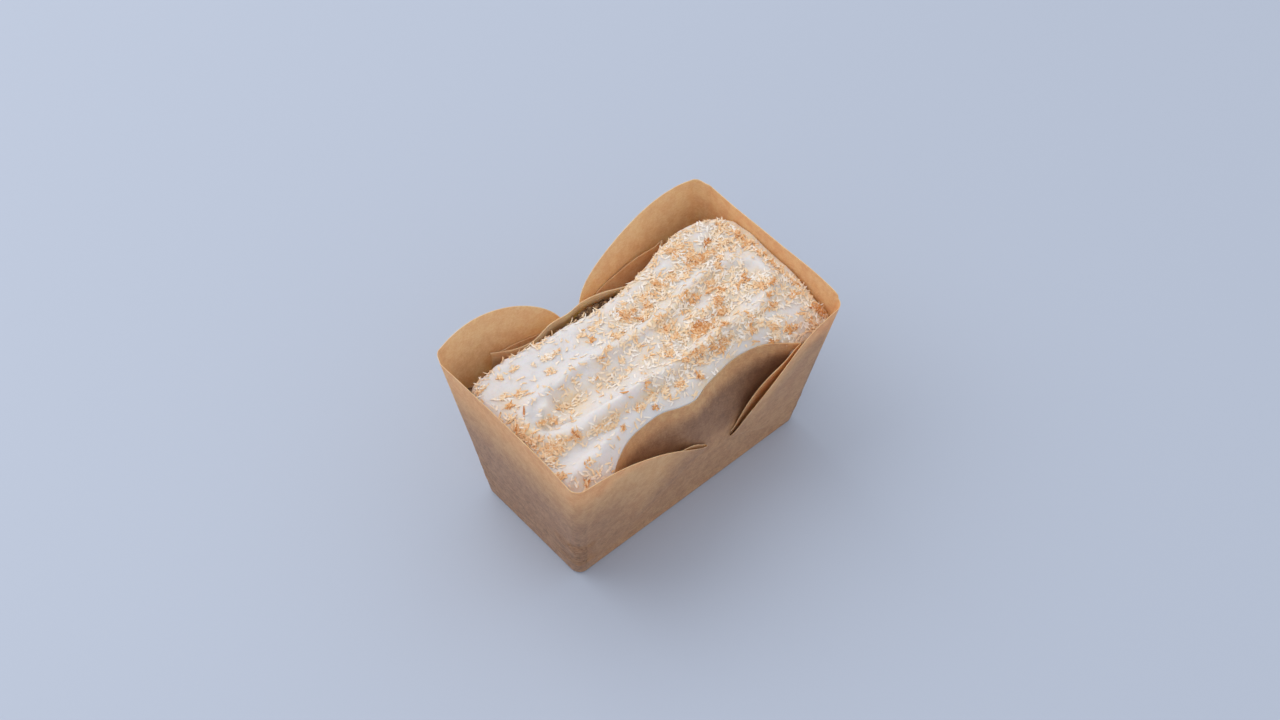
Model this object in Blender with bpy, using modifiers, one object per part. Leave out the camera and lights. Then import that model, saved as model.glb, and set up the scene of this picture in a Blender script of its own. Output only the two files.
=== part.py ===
"""A small carrot loaf cake, iced, in the paper case it was baked in.

The case is one uncut sheet of baking paper pressed to a flared loaf shape. Its two ends stand
straight. At each corner the spare paper wraps round onto a long side and lies flat there as a
rounded ear, and behind the ears the long side itself rises as a tongue that leans over the cake.
The sponge fills the case and the icing is spread on it in long strokes.

Frame: +X along the case, +Y across it, +Z up, origin at the middle of the base on the table.
Sides are named by the sign of Y (NEAR -1, FAR +1) and ends by the sign of X (LEFT -1, RIGHT +1).
"""
import math

import bmesh
import bpy
import numpy as np

MM = 0.001
LEFT, RIGHT = -1, 1
NEAR, FAR = -1, 1


class Curve:
    """A smooth curve through points (x, y) given in mm. Beyond its ends it keeps its end values."""

    def __init__(self, *points, samples=400):
        place, value = np.array(points).T
        slope = np.gradient(value, place)
        x = np.linspace(place[0], place[-1], samples)
        left = np.clip(np.searchsorted(place, x, side="right") - 1, 0, len(place) - 2)
        step = place[left + 1] - place[left]
        t = (x - place[left]) / step
        y = ((2 * t ** 3 - 3 * t ** 2 + 1) * value[left] + (t ** 3 - 2 * t ** 2 + t) * step * slope[left]
             + (3 * t ** 2 - 2 * t ** 3) * value[left + 1] + (t ** 3 - t ** 2) * step * slope[left + 1])
        self.x = x * MM
        self.y = y * MM

    def __call__(self, x):
        return float(np.interp(x, self.x, self.y))


# The case: its base, its mouth and its height
BASE_LENGTH = 89.0 * MM
BASE_WIDTH = 43.3 * MM
MOUTH_LENGTH = 104.0 * MM
MOUTH_WIDTH = 62.1 * MM
CASE_HEIGHT = 61.6 * MM
WALL = 0.5 * MM
BASE_CORNER = 3.3 * MM
MOUTH_CORNER = 3.4 * MM

# Heights of the cut edge along the two ends, as (y, z) in mm
END_TOPS = {
    LEFT: Curve((-31, 59.4), (-27, 59.8), (-21, 60.7), (-15, 61.5), (-9, 61.6), (31, 61.6)),
    RIGHT: Curve((-31, 59.0), (-29, 59.6), (-26, 60.6), (-22, 61.0), (0, 61.0), (24, 61.0), (31, 61.6)),
}

# The ears: where each one's tip lies on the long side, how round and full its edge is, how far it
# flares, how far its edge rises above the corner, and how far both of those reach along the edge
EARS = {
    (NEAR, LEFT): {"tip": (2.3 * MM, 28.6 * MM), "round": 2.1, "full": 1.2, "flare": 0.3 * MM,
                   "crest": 0.0, "spread": 1.0, "skew": 1.0},
    (NEAR, RIGHT): {"tip": (12.6 * MM, 23.0 * MM), "round": 2.29, "full": 0.92, "flare": 1.9 * MM,
                    "crest": 0.0, "spread": 2.5, "skew": 0.5},
    (FAR, LEFT): {"tip": (-5.5 * MM, 33.0 * MM), "round": 1.75, "full": 0.33, "flare": 4.1 * MM,
                  "crest": 1.75 * MM, "spread": 0.76, "skew": 1.1},
    (FAR, RIGHT): {"tip": (-1.0 * MM, 33.0 * MM), "round": 1.65, "full": 0.2, "flare": 3.7 * MM,
                   "crest": 0.98 * MM, "spread": 0.52, "skew": 1.87},
}
FLARE_FROM = 0.7
FLARE_FADE = 6.0 * MM

# The tongues: the height where each leaves the wall, and its free edge as (x, distance from the
# middle line, z) in mm
TONGUES = {
    NEAR: {"root": 21.0 * MM, "start": 14.0 * MM, "edge": (
        (-37.5, 29.6, 52), (-33.8, 26.6, 50), (-29.6, 23.9, 50), (-24.0, 21.4, 50), (-16.5, 20.4, 50),
        (-10.5, 20.5, 50), (-5.0, 22.5, 50), (-0.3, 23.3, 50), (5.0, 21.7, 50), (11.0, 20.5, 50),
        (22.0, 19.9, 50), (28.0, 22.5, 51.4), (35.3, 29.7, 53))},
    FAR: {"root": 32.0 * MM, "start": 18.0 * MM, "edge": (
        (-33.2, 30.6, 49), (-28.2, 26.9, 50), (-22.5, 25.3, 50), (-13.0, 26.7, 50), (-7.0, 26.3, 50),
        (-1.0, 26.9, 50), (6.0, 25.6, 50), (13.5, 22.8, 50), (22.0, 24.3, 50), (29.0, 26.6, 50),
        (32.8, 29.3, 49.5))},
}
TONGUE_EDGE = {side: Curve(*((x, y) for x, y, z in tongue["edge"])) for side, tongue in TONGUES.items()}
TONGUE_TOP = {side: Curve(*((x, z) for x, y, z in tongue["edge"])) for side, tongue in TONGUES.items()}
TONGUE_WALL = 0.4 * MM
TONGUE_SINK = 0.10 * MM
TONGUE_MARGIN = 1.0 * MM
TONGUE_JOIN = 3.0 * MM
TONGUE_BEND = 1.8

# The sponge: a loaf a little smaller than the room inside the case
AIR = 0.35 * MM
SPONGE_FOOT = 1.0 * MM
SPONGE_TOP = 46.0 * MM
SPONGE_SHRINK = 0.9 * MM
SPONGE_CORNER = 5.0 * MM
FOOT_ROUND = 0.8 * MM
TOP_ROUND = 1.6 * MM
TOP_ROUND_FROM = 0.7

# The icing: its ends, its rim and its crown, and how wide its shoulders are
ICING_LEFT = -49.7 * MM
ICING_RIGHT = 49.7 * MM
ICING_RIM = 49.0 * MM
ICING_NEAR_RIM = 1.2 * MM
ICING_CROWN = 54.8 * MM
ICING_RIGHT_LIFT = 2.2 * MM
ICING_NEAR_FALL = 3.0 * MM
SHOULDERS = (4.6 * MM, 4.5 * MM, 3.0 * MM, 2.5 * MM)
TONGUE_CLEARANCE = 0.4 * MM
WALL_SLOPE = (MOUTH_LENGTH - BASE_LENGTH) / 2 / CASE_HEIGHT
LEAN_FROM = 50.0 * MM
STROKE_FADE = 0.7
FOOT_POWER = 8

# The outline of the icing along the two long sides, as (x, distance from the middle line) in mm
FAR_OUTLINE = Curve((-49.7, 16.5), (-47.2, 21.3), (-42, 23.0), (-35, 24.0), (-28, 23.2), (-19.5, 22.2),
                    (-11, 21.6), (-4, 20.4), (7, 20.8), (18, 22.3), (30, 25.3), (37, 25.5), (43, 23.8),
                    (47, 21.0), (49.7, 16.8))
NEAR_LIMIT = Curve((-49.7, 26.0), (-48.5, 27.1), (-44, 27.5), (-40, 27.5), (0, 27.5), (40, 27.5), (44, 27.5),
                   (48.5, 27.1), (49.7, 26.0))
# How high the icing stands against the right end, as (y, z) in mm
RIGHT_CONTACT = Curve((-28, 49.5), (-21, 49.8), (-15.6, 52.3), (-9.5, 54.0), (-1.5, 54.8), (4.6, 55.8),
                      (8, 56.6), (12.7, 55.8), (16.5, 55.0), (22, 53.0))

# The strokes left by the spatula, in mm: points (x, y), half width, and height (below 0, a groove)
STROKES = (
    # the outer curl at the left, which turns into the long ridge
    (((-33, 5), (-39, 4.5), (-43.5, 2), (-45.5, -3), (-43.5, -8.5), (-36, -11.4), (-20, -12.1), (0, -12.2),
      (20, -12.4), (33, -13.8)), 2.2, 1.5),
    # the rim above the hollow, carried on to the right, and the curl back at the right end
    (((-37, 0.5), (-34, 2.6), (-31, 4.1), (-26, 5.0), (-21, 5.4), (-14, 4.4), (-4, 3.2), (8, 2.6), (16, 3.2),
      (22, 5.2), (32, 6.0), (39, 4.2), (43.2, 0), (43.6, -6), (40, -11), (33, -13.8)), 2.3, 1.35),
    # the hollow and the small one at its end
    (((-32, -2.2), (-22, -2.7), (-11, -3.4)), 3.8, -1.85),
    (((-40.0, -4.4), (-38.6, -4.6)), 2.3, -1.85),
    # the furrow along the near side and the soft shoulder outside it
    (((-46, -16.2), (-20, -16.3), (4, -16.4), (20, -16.9)), 2.2, -1.45),
    (((-44, -20.8), (-10, -20.6), (12, -20.8)), 2.4, 0.8),
    # the short ridge inside the right end and the dips round it
    (((17, -3.8), (25, -4.2)), 1.7, 0.95),
    (((9, -8.4), (20, -8.6), (29, -7.4)), 2.2, -1.0),
    (((18, 0.6), (28, 0.6), (36, -1.0)), 2.4, -0.8),
    # the swelling at the far right and the dip in front of it
    (((30, 18), (38, 19)), 7.0, 1.3),
    (((4, 8.5), (18, 9.5), (38, 9.6)), 2.6, -0.6),
)

# How finely the surfaces are divided
CORNER_STEPS = 4
END_STEPS = 6
EAR_STEPS = 11
TIP_GAP_STEPS = 2
TIP_CROWDING = 1.6
CASE_ROWS = 6
TONGUE_COLUMNS = 28
TONGUE_ROWS = 8
SPONGE_SIDE_STEPS = 22
SPONGE_LEVELS = (0.0, 0.12, 0.45, 0.7, 0.86, 0.96, 1.0)
ICING_COLUMNS = 62
ICING_ROWS = 38
WELD = 0.01 * MM
CREASE = math.radians(40)


def clamp(value, low=0.0, high=1.0):
    return min(high, max(low, value))


def mix(start, end, share):
    return start + (end - start) * share


def smooth(start, end, value):
    """0 before start, 1 after end, with a soft change between them."""
    share = clamp((value - start) / (end - start))
    return share * share * (3 - 2 * share)


def bump(middle, width, value):
    """1 at the middle, fading to 0 beyond the width."""
    return math.exp(-((value - middle) / width) ** 2)


# The case's plain flared walls

def half_length(height):
    return mix(BASE_LENGTH, MOUTH_LENGTH, height / CASE_HEIGHT) / 2


def half_width(height):
    return mix(BASE_WIDTH, MOUTH_WIDTH, height / CASE_HEIGHT) / 2


def corner_radius(height):
    return mix(BASE_CORNER, MOUTH_CORNER, height / CASE_HEIGHT)


# The ears

def ear_share(side, end, x):
    """How far x is along an ear: 0 at its tip, 1 at the corner of the case."""
    tip_x = EARS[side, end]["tip"][0]
    return clamp((x - tip_x) / (end * MOUTH_LENGTH / 2 - tip_x))


def ear_swell(side, end, x):
    """0 at the tip and at the corner, 1 where the ear stands out most."""
    ear = EARS[side, end]
    return max(math.sin(math.pi * ear_share(side, end, x) ** ear["skew"]), 0.0) ** ear["spread"]


def ear_height(side, end, x):
    """Height of an ear's cut edge, from its tip at mid-side up to the corner of the case."""
    ear = EARS[side, end]
    rise = (1 - (1 - ear_share(side, end, x)) ** ear["round"]) ** ear["full"]
    corner_top = END_TOPS[end](side * MOUTH_WIDTH / 2)
    return mix(ear["tip"][1], corner_top, rise) + ear["crest"] * ear_swell(side, end, x)


def ear_end(side, x):
    """The end of the case whose ear covers x, or None in the gap between the two tips."""
    if x < EARS[side, LEFT]["tip"][0]:
        return LEFT
    if x > EARS[side, RIGHT]["tip"][0]:
        return RIGHT
    return None


def side_top(side, x):
    """Height of the outer paper's edge along a long side."""
    end = ear_end(side, x)
    if end:
        return ear_height(side, end, x)
    (left_x, left_height), (right_x, right_height) = (EARS[side, way]["tip"] for way in (LEFT, RIGHT))
    return mix(left_height, right_height, (x - left_x) / (right_x - left_x))


def side_flare(side, x, height):
    """How far an ear stands out from the plain wall: most at mid-ear, near its edge."""
    end = ear_end(side, x)
    if not end:
        return 0.0
    ear = EARS[side, end]
    off_corner = smooth(0.0, FLARE_FADE, MOUTH_LENGTH / 2 - MOUTH_CORNER - abs(x))
    rise = smooth(ear["tip"][1] * FLARE_FROM, CASE_HEIGHT, height)
    return ear["flare"] * ear_swell(side, end, x) * off_corner * rise


# The tongues

def tongue_lean(side, x, height):
    """How far the tongue has left the plain wall, inwards."""
    root, top = TONGUES[side]["root"], TONGUE_TOP[side](x)
    up = clamp((height - root) / (top - root))
    return (half_width(top) - TONGUE_EDGE[side](x)) * up ** TONGUE_BEND


def tongue_half_width(side, x, height):
    """Distance from the case's middle line to a tongue, whose two ends run into the ears."""
    left, right = (TONGUES[side]["edge"][index][0] * MM for index in (0, -1))
    at_end = smooth(TONGUE_JOIN, 0.0, min(x - left, right - x))
    free = half_width(height) - tongue_lean(side, x, height)
    return mix(free, half_width(height) + side_flare(side, x, height), at_end)


def room_half_width(side, x, height):
    """Half the width of the room inside the case at x, between the tongues."""
    return half_width(height) - max(tongue_lean(side, x, height), 0.0) - WALL


# Mesh helpers

def material(name, colour, roughness):
    finish = bpy.data.materials.new(name)
    finish.use_nodes = True
    shader = finish.node_tree.nodes["Principled BSDF"]
    shader.inputs["Base Color"].default_value = (*colour, 1.0)
    shader.inputs["Roughness"].default_value = roughness
    shader.inputs["Metallic"].default_value = 0.0
    return finish


def collection(name):
    group = bpy.data.collections.new(name)
    bpy.context.scene.collection.children.link(group)
    return group


def add_object(name, bm, group, finish=None):
    mesh = bpy.data.meshes.new(name)
    bm.to_mesh(mesh)
    bm.free()
    mesh.shade_smooth()
    mesh.set_sharp_from_angle(angle=CREASE)
    if finish:
        mesh.materials.append(finish)
    piece = bpy.data.objects.new(name, mesh)
    group.objects.link(piece)
    return piece


def shaped_grid(across, up, place):
    """A grid of faces whose corner (i, k) is moved to place(i, k)."""
    bm = bmesh.new()
    bmesh.ops.create_grid(bm, x_segments=across, y_segments=up, size=1.0)
    for vert in bm.verts:
        i = round((vert.co.x + 1) / 2 * across)
        k = round((vert.co.y + 1) / 2 * up)
        vert.co = place(i, k)
    return bm


def closed_wall(rings):
    """Faces round a stack of rings, each with the same number of points; open above and below."""
    count = len(rings[0])
    bm = shaped_grid(count, len(rings) - 1, lambda i, k: rings[k][i % count])
    bmesh.ops.remove_doubles(bm, verts=bm.verts, dist=WELD)
    return bm


def boundary(bm):
    return [edge for edge in bm.edges if edge.is_boundary]


def outline(length, width, corner, shares, half_width_at):
    """Points round a rounded box, counter-clockwise from the left end of its near side.

    length and width are half sizes, shares[side] gives places from -1 to 1 along each long side,
    and half_width_at(side, x) bends the long sides.
    """
    def along_side(side, way):
        xs = [share * (length - corner) for share in shares[side][::way]]
        return [(x, side * half_width_at(side, x)) for x in xs]

    def along_end(end):
        reach = end * (width - corner)
        return [(end * length, mix(-reach, reach, step / END_STEPS)) for step in range(END_STEPS + 1)]

    def round_corner(end, side, start):
        middle_x, middle_y = end * (length - corner), side * (width - corner)
        turns = [start + math.pi / 2 * step / CORNER_STEPS for step in range(1, CORNER_STEPS)]
        return [(middle_x + corner * math.cos(t), middle_y + corner * math.sin(t)) for t in turns]

    return (along_side(NEAR, 1) + round_corner(RIGHT, NEAR, -math.pi / 2)
            + along_end(RIGHT) + round_corner(RIGHT, FAR, 0.0)
            + along_side(FAR, -1) + round_corner(LEFT, FAR, math.pi / 2)
            + along_end(LEFT) + round_corner(LEFT, NEAR, math.pi))


def thicken(piece, thickness):
    """Turns an open sheet into a wall that lies behind its outer face."""
    wall = piece.modifiers.new("wall", "SOLIDIFY")
    wall.thickness = thickness
    wall.offset = -1.0
    wall.use_even_offset = True


def join(piece, other):
    union = piece.modifiers.new("join_" + other.name, "BOOLEAN")
    union.operation = "UNION"
    union.solver = "EXACT"
    union.object = other


# The paper case

def ear_crowded_shares(side):
    """Shares of a long side from -1 to 1, crowded at the two tips, where the edge turns sharply."""
    reach = MOUTH_LENGTH / 2 - MOUTH_CORNER
    left, right = (EARS[side, end]["tip"][0] / reach for end in (LEFT, RIGHT))
    crowded = [(step / EAR_STEPS) ** TIP_CROWDING for step in range(EAR_STEPS + 1)]
    left_ear = [mix(left, -1, share) for share in reversed(crowded)]
    gap = [mix(left, right, step / TIP_GAP_STEPS) for step in range(1, TIP_GAP_STEPS)]
    right_ear = [mix(right, 1, share) for share in crowded]
    return left_ear + gap + right_ear


def case_outline(height, shares):
    def half_width_at(side, x):
        return half_width(height) + side_flare(side, x, height)

    return outline(half_length(height), half_width(height), corner_radius(height), shares, half_width_at)


def paper_top(x, y):
    """Height of the paper's edge above a point of the mouth's outline."""
    side, end = (NEAR if y < 0 else FAR), (LEFT if x < 0 else RIGHT)
    if abs(y) > MOUTH_WIDTH / 2 - WELD:
        return side_top(side, x)
    ear_start = ear_height(side, end, end * (MOUTH_LENGTH / 2 - MOUTH_CORNER))
    round_corner = smooth(MOUTH_WIDTH / 2 - MOUTH_CORNER, MOUTH_WIDTH / 2, abs(y))
    return mix(END_TOPS[end](y), ear_start, round_corner)


def paper_wall(group, finish):
    """The base, the ends, the corners and the ears: one sheet, closed round and at the bottom."""
    shares = {side: ear_crowded_shares(side) for side in (NEAR, FAR)}
    tops = [paper_top(x, y) for x, y in case_outline(CASE_HEIGHT, shares)]
    rings = []
    for row in range(CASE_ROWS + 1):
        heights = [top * row / CASE_ROWS for top in tops]
        rings.append([(*case_outline(height, shares)[i], height) for i, height in enumerate(heights)])
    bm = closed_wall(rings)
    foot = [edge for edge in boundary(bm) if max(vert.co.z for vert in edge.verts) < WELD]
    bmesh.ops.edgeloop_fill(bm, edges=foot)
    bmesh.ops.recalc_face_normals(bm, faces=bm.faces)
    wall = add_object("paper_case", bm, group, finish)
    thicken(wall, WALL)
    return wall


def paper_tongue(side, name, group):
    """A tongue as its own slab. Its foot and its two ends lie inside the outer wall's thickness."""
    left, right = (TONGUES[side]["edge"][index][0] * MM for index in (0, -1))

    def place(i, k):
        x = mix(left - TONGUE_MARGIN, right + TONGUE_MARGIN, i / TONGUE_COLUMNS)
        height = mix(TONGUES[side]["start"], TONGUE_TOP[side](x), k / TONGUE_ROWS)
        return x, side * (tongue_half_width(side, x, height) - TONGUE_SINK), height

    bm = shaped_grid(TONGUE_COLUMNS, TONGUE_ROWS, place)
    if side == FAR:
        bmesh.ops.reverse_faces(bm, faces=bm.faces)
    slab = add_object(name, bm, group)
    thicken(slab, TONGUE_WALL)
    slab.display_type = "WIRE"
    slab.hide_render = True
    return slab


# The sponge

def sponge_outline(height, inset):
    """Outline of the sponge at a height: it follows the inside of the case, tongues included."""
    gap = AIR + inset
    even = [mix(-1, 1, step / SPONGE_SIDE_STEPS) for step in range(SPONGE_SIDE_STEPS + 1)]

    def half_width_at(side, x):
        return room_half_width(side, x, height) - gap

    return outline(half_length(height) - WALL - gap, half_width(height) - WALL - gap, SPONGE_CORNER,
                   {NEAR: even, FAR: even}, half_width_at)


def sponge(group, finish):
    """The loaf: straight below, drawn in a little round its foot and its upper edge."""
    rings = []
    for level in SPONGE_LEVELS:
        height = mix(SPONGE_FOOT, SPONGE_TOP, level)
        foot = FOOT_ROUND * (1 - smooth(0.0, SPONGE_LEVELS[1], level))
        top = TOP_ROUND * clamp((level - TOP_ROUND_FROM) / (1 - TOP_ROUND_FROM)) ** 2
        points = sponge_outline(height, SPONGE_SHRINK * level + foot + top)
        rings.append([(x, y, height) for x, y in points])
    bm = closed_wall(rings)
    bmesh.ops.holes_fill(bm, edges=bm.edges, sides=0)
    bmesh.ops.recalc_face_normals(bm, faces=bm.faces)
    return add_object("sponge", bm, group, finish)


# The icing

def icing_edge(side, x):
    """Half width of the icing at x: it keeps inside the tongue and follows its own outline."""
    inside = TONGUE_EDGE[side](x) - TONGUE_SINK - TONGUE_WALL - TONGUE_CLEARANCE
    return min(inside, NEAR_LIMIT(x) if side == NEAR else FAR_OUTLINE(x))


def stroke_relief(x, y):
    """Height that the spatula's ridges and hollows add at a point of the icing."""
    total = 0.0
    for points, half, height in STROKES:
        nearest = math.inf
        for start, end in zip(points, points[1:]):
            (ax, ay), (bx, by) = ((px * MM, py * MM) for px, py in (start, end))
            along = (x - ax) * (bx - ax) + (y - ay) * (by - ay)
            share = clamp(along / ((bx - ax) ** 2 + (by - ay) ** 2))
            nearest = min(nearest, math.hypot(x - mix(ax, bx, share), y - mix(ay, by, share)))
        total += height * MM * bump(0.0, half * MM, nearest)
    return total


def icing_height(x, y, inward):
    """Height of the icing's surface. inward is 0 at the outline and 1 inside the shoulders."""
    near_rim = ICING_RIM + ICING_NEAR_RIM * smooth(0.0, -20 * MM, y)
    rim = mix(near_rim, RIGHT_CONTACT(y), smooth(30 * MM, 47 * MM, x))
    crown = ICING_CROWN + ICING_RIGHT_LIFT * smooth(0, 40 * MM, x)
    crown -= ICING_NEAR_FALL * smooth(28 * MM, 46 * MM, x) * smooth(-8 * MM, -22 * MM, y)
    body = mix(rim, max(crown, rim), math.sqrt(1 - (1 - inward) ** 2))
    return body + stroke_relief(x, y) * smooth(0, STROKE_FADE, inward)


def edge_crowded(step, steps):
    """A share from 0 to 1 whose steps lie closer together towards the two ends."""
    share = step / steps
    return mix(share, (1 - math.cos(math.pi * share)) / 2, 0.5)


def icing(group, finish):
    """The spread of icing: its top with the strokes, rounded shoulders and an upright edge."""
    def place(i, k):
        x = mix(ICING_LEFT, ICING_RIGHT, edge_crowded(i, ICING_COLUMNS))
        near, far = -icing_edge(NEAR, x), icing_edge(FAR, x)
        y = mix(near, far, edge_crowded(k, ICING_ROWS))
        away = (y - near, far - y, x - ICING_LEFT, ICING_RIGHT - x)
        height = icing_height(x, y, min(clamp(part / width) for part, width in zip(away, SHOULDERS)))
        lean = WALL_SLOPE * max(height - LEAN_FROM, 0.0) * smooth(40 * MM, ICING_RIGHT, x)
        return x + lean, y, height

    bm = shaped_grid(ICING_COLUMNS, ICING_ROWS, place)
    skirt = bmesh.ops.extrude_edge_only(bm, edges=boundary(bm))["geom"]
    for vert in (item for item in skirt if isinstance(item, bmesh.types.BMVert)):
        foot = SPONGE_TOP + AIR
        at_the_end = (abs(vert.co.x) / ICING_RIGHT) ** FOOT_POWER
        vert.co.x -= math.copysign(WALL_SLOPE * (vert.co.z - foot), vert.co.x) * at_the_end
        vert.co.z = foot
    bmesh.ops.holes_fill(bm, edges=bm.edges, sides=0)
    bmesh.ops.recalc_face_normals(bm, faces=bm.faces)
    return add_object("icing", bm, group, finish)


def main():
    for thing in list(bpy.data.objects):
        bpy.data.objects.remove(thing, do_unlink=True)
    parts = collection("carrot_cake")
    guides = collection("joined_in")

    paper = material("brown_paper", (0.52, 0.32, 0.17), 0.62)
    crumb = material("sponge_crumb", (0.30, 0.14, 0.05), 0.92)
    cream = material("white_icing", (0.86, 0.83, 0.80), 0.55)

    case = paper_wall(parts, paper)
    for side, name in ((NEAR, "near_tongue"), (FAR, "far_tongue")):
        join(case, paper_tongue(side, name, guides))
    sponge(parts, crumb)
    icing(parts, cream)


main()
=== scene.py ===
# %% [markdown]
# # A small iced carrot cake in its paper case
#
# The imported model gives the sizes: a flared paper case, the loaf baked in it and the icing spread on
# it. This script keeps those sizes and gives the cake its looks. Each piece has a short lesson before
# the cell that makes it. Everything is in metres, with +Z up and the case standing on the floor.

# %% Load the frame
import math
import random

import bmesh
import bpy
import numpy as np
from mathutils import Matrix, Vector, noise
from mathutils.bvhtree import BVHTree


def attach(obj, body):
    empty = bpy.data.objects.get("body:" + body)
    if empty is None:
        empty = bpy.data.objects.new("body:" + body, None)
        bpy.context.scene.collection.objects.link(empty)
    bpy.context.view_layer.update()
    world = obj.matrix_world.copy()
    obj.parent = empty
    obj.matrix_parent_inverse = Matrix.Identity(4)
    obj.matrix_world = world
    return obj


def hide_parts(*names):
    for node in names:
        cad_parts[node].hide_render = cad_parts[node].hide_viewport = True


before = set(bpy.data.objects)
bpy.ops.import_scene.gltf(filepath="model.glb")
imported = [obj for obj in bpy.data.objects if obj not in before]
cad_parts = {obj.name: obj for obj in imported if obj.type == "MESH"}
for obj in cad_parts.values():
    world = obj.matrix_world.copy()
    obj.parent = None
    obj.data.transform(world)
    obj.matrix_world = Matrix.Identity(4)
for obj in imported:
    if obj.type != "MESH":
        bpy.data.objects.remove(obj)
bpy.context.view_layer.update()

print("nodes:", sorted(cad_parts))

# %% [markdown]
# ## Camera
#
# The photo was taken from above the near left corner of the case with a moderately long lens. The
# camera's place was found once, by fitting the eight corners of the case, so it is written here as
# a point and two directions rather than aimed by a constraint.

# %% Place the camera
MM = 0.001
CAMERA_POINT = Vector((-272.2, -302.7, 577.4)) * MM
CAMERA_RIGHT = Vector((0.74895, -0.66261, 0.00440))
CAMERA_UP = Vector((0.52384, 0.59615, 0.60844))
CAMERA_LENS, CAMERA_SENSOR = 64.16, 36.0
CAMERA_NEAREST = 10 * MM


def put(name, data):
    """Makes an object and puts it in the scene."""
    thing = bpy.data.objects.new(name, data)
    bpy.context.scene.collection.objects.link(thing)
    return thing


camera_data = bpy.data.cameras.new("photo_camera")
camera_data.lens = CAMERA_LENS
camera_data.sensor_width = CAMERA_SENSOR
camera_data.clip_start = CAMERA_NEAREST
camera = put("photo_camera", camera_data)
turn = Matrix((CAMERA_RIGHT, CAMERA_UP, CAMERA_RIGHT.cross(CAMERA_UP))).transposed().to_4x4()
camera.matrix_world = Matrix.Translation(CAMERA_POINT) @ turn
bpy.context.scene.camera = camera
bpy.context.scene.view_settings.view_transform = "Standard"
print("camera at", [round(value, 3) for value in camera.matrix_world.translation])

# %% [markdown]
# ## Small helpers for shapes
#
# A surface here is a grid whose corners are moved by a formula. Numpy works such a formula out for
# all corners at once, so the helpers below take single numbers and whole arrays alike.

# %% Helpers for shapes
LEFT, RIGHT = -1, 1
NEAR, FAR = -1, 1


def mm(*lengths):
    """Lengths given in millimetres, in metres."""
    return tuple(length * MM for length in lengths)


def mix(start, end, share):
    return start + (end - start) * share


def smooth(start, end, value):
    """0 before start, 1 after end, with a soft change between them."""
    share = np.clip((value - start) / (end - start), 0.0, 1.0)
    return share * share * (3 - 2 * share)


def bump(middle, width, value):
    """1 at the middle, fading to 0 beyond the width."""
    return np.exp(-((value - middle) / width) ** 2)


class Curve:
    """A smooth curve through points (x, y) in mm. Beyond its ends it keeps its end values."""

    SAMPLES = 400

    def __init__(self, *points):
        place, value = np.array(points).T
        slope = np.gradient(value, place)
        x = np.linspace(place[0], place[-1], self.SAMPLES)
        left = np.clip(np.searchsorted(place, x, side="right") - 1, 0, len(place) - 2)
        step = place[left + 1] - place[left]
        t = (x - place[left]) / step
        y = ((2 * t ** 3 - 3 * t ** 2 + 1) * value[left] + (t ** 3 - 2 * t ** 2 + t) * step * slope[left]
             + (3 * t ** 2 - 2 * t ** 3) * value[left + 1] + (t ** 3 - t ** 2) * step * slope[left + 1])
        self.x, self.y = x * MM, y * MM

    def __call__(self, x):
        return np.interp(x, self.x, self.y)


def piece_from(bm, name, finish, flat=False):
    """Turns a bmesh into a piece with a finish. It rides on the cake."""
    mesh = bpy.data.meshes.new(name)
    bm.to_mesh(mesh)
    bm.free()
    if not flat:
        mesh.shade_smooth()
    mesh.materials.append(finish)
    piece = put(name, mesh)
    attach(piece, "root")
    print(name, len(mesh.vertices), "vertices", len(mesh.polygons), "faces")
    return piece


def new_verts(made):
    """The vertices among what an operator made."""
    return [item for item in made if isinstance(item, bmesh.types.BMVert)]


def close_up(bm):
    """Fills the open foot of a shape and points its faces outwards."""
    bmesh.ops.holes_fill(bm, edges=bm.edges, sides=0)
    bmesh.ops.recalc_face_normals(bm, faces=bm.faces)


# %% [markdown]
# ## Helpers for finishes
#
# A finish is a node tree. Wiring one by hand takes three lines a node, so `Wire` wraps a socket and
# lets sums be written as sums, and `Finish.add` is the one way in which any other node is made.

# %% Helpers for finishes
def arithmetic(operation, turned=False):
    """A method of Wire that adds a Math node, with its sides turned round for 1 - wire."""
    def method(self, other):
        first, second = (other, self) if turned else (self, other)
        return self.finish.add("Math", {"operation": operation}, {0: first, 1: second})
    return method


class Wire:
    """An output socket. Arithmetic on wires and numbers adds the Math nodes that do it."""

    def __init__(self, finish, socket):
        self.finish, self.socket = finish, socket

    __add__, __radd__ = arithmetic("ADD"), arithmetic("ADD", turned=True)
    __sub__, __rsub__ = arithmetic("SUBTRACT"), arithmetic("SUBTRACT", turned=True)
    __mul__, __rmul__ = arithmetic("MULTIPLY"), arithmetic("MULTIPLY", turned=True)


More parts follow.
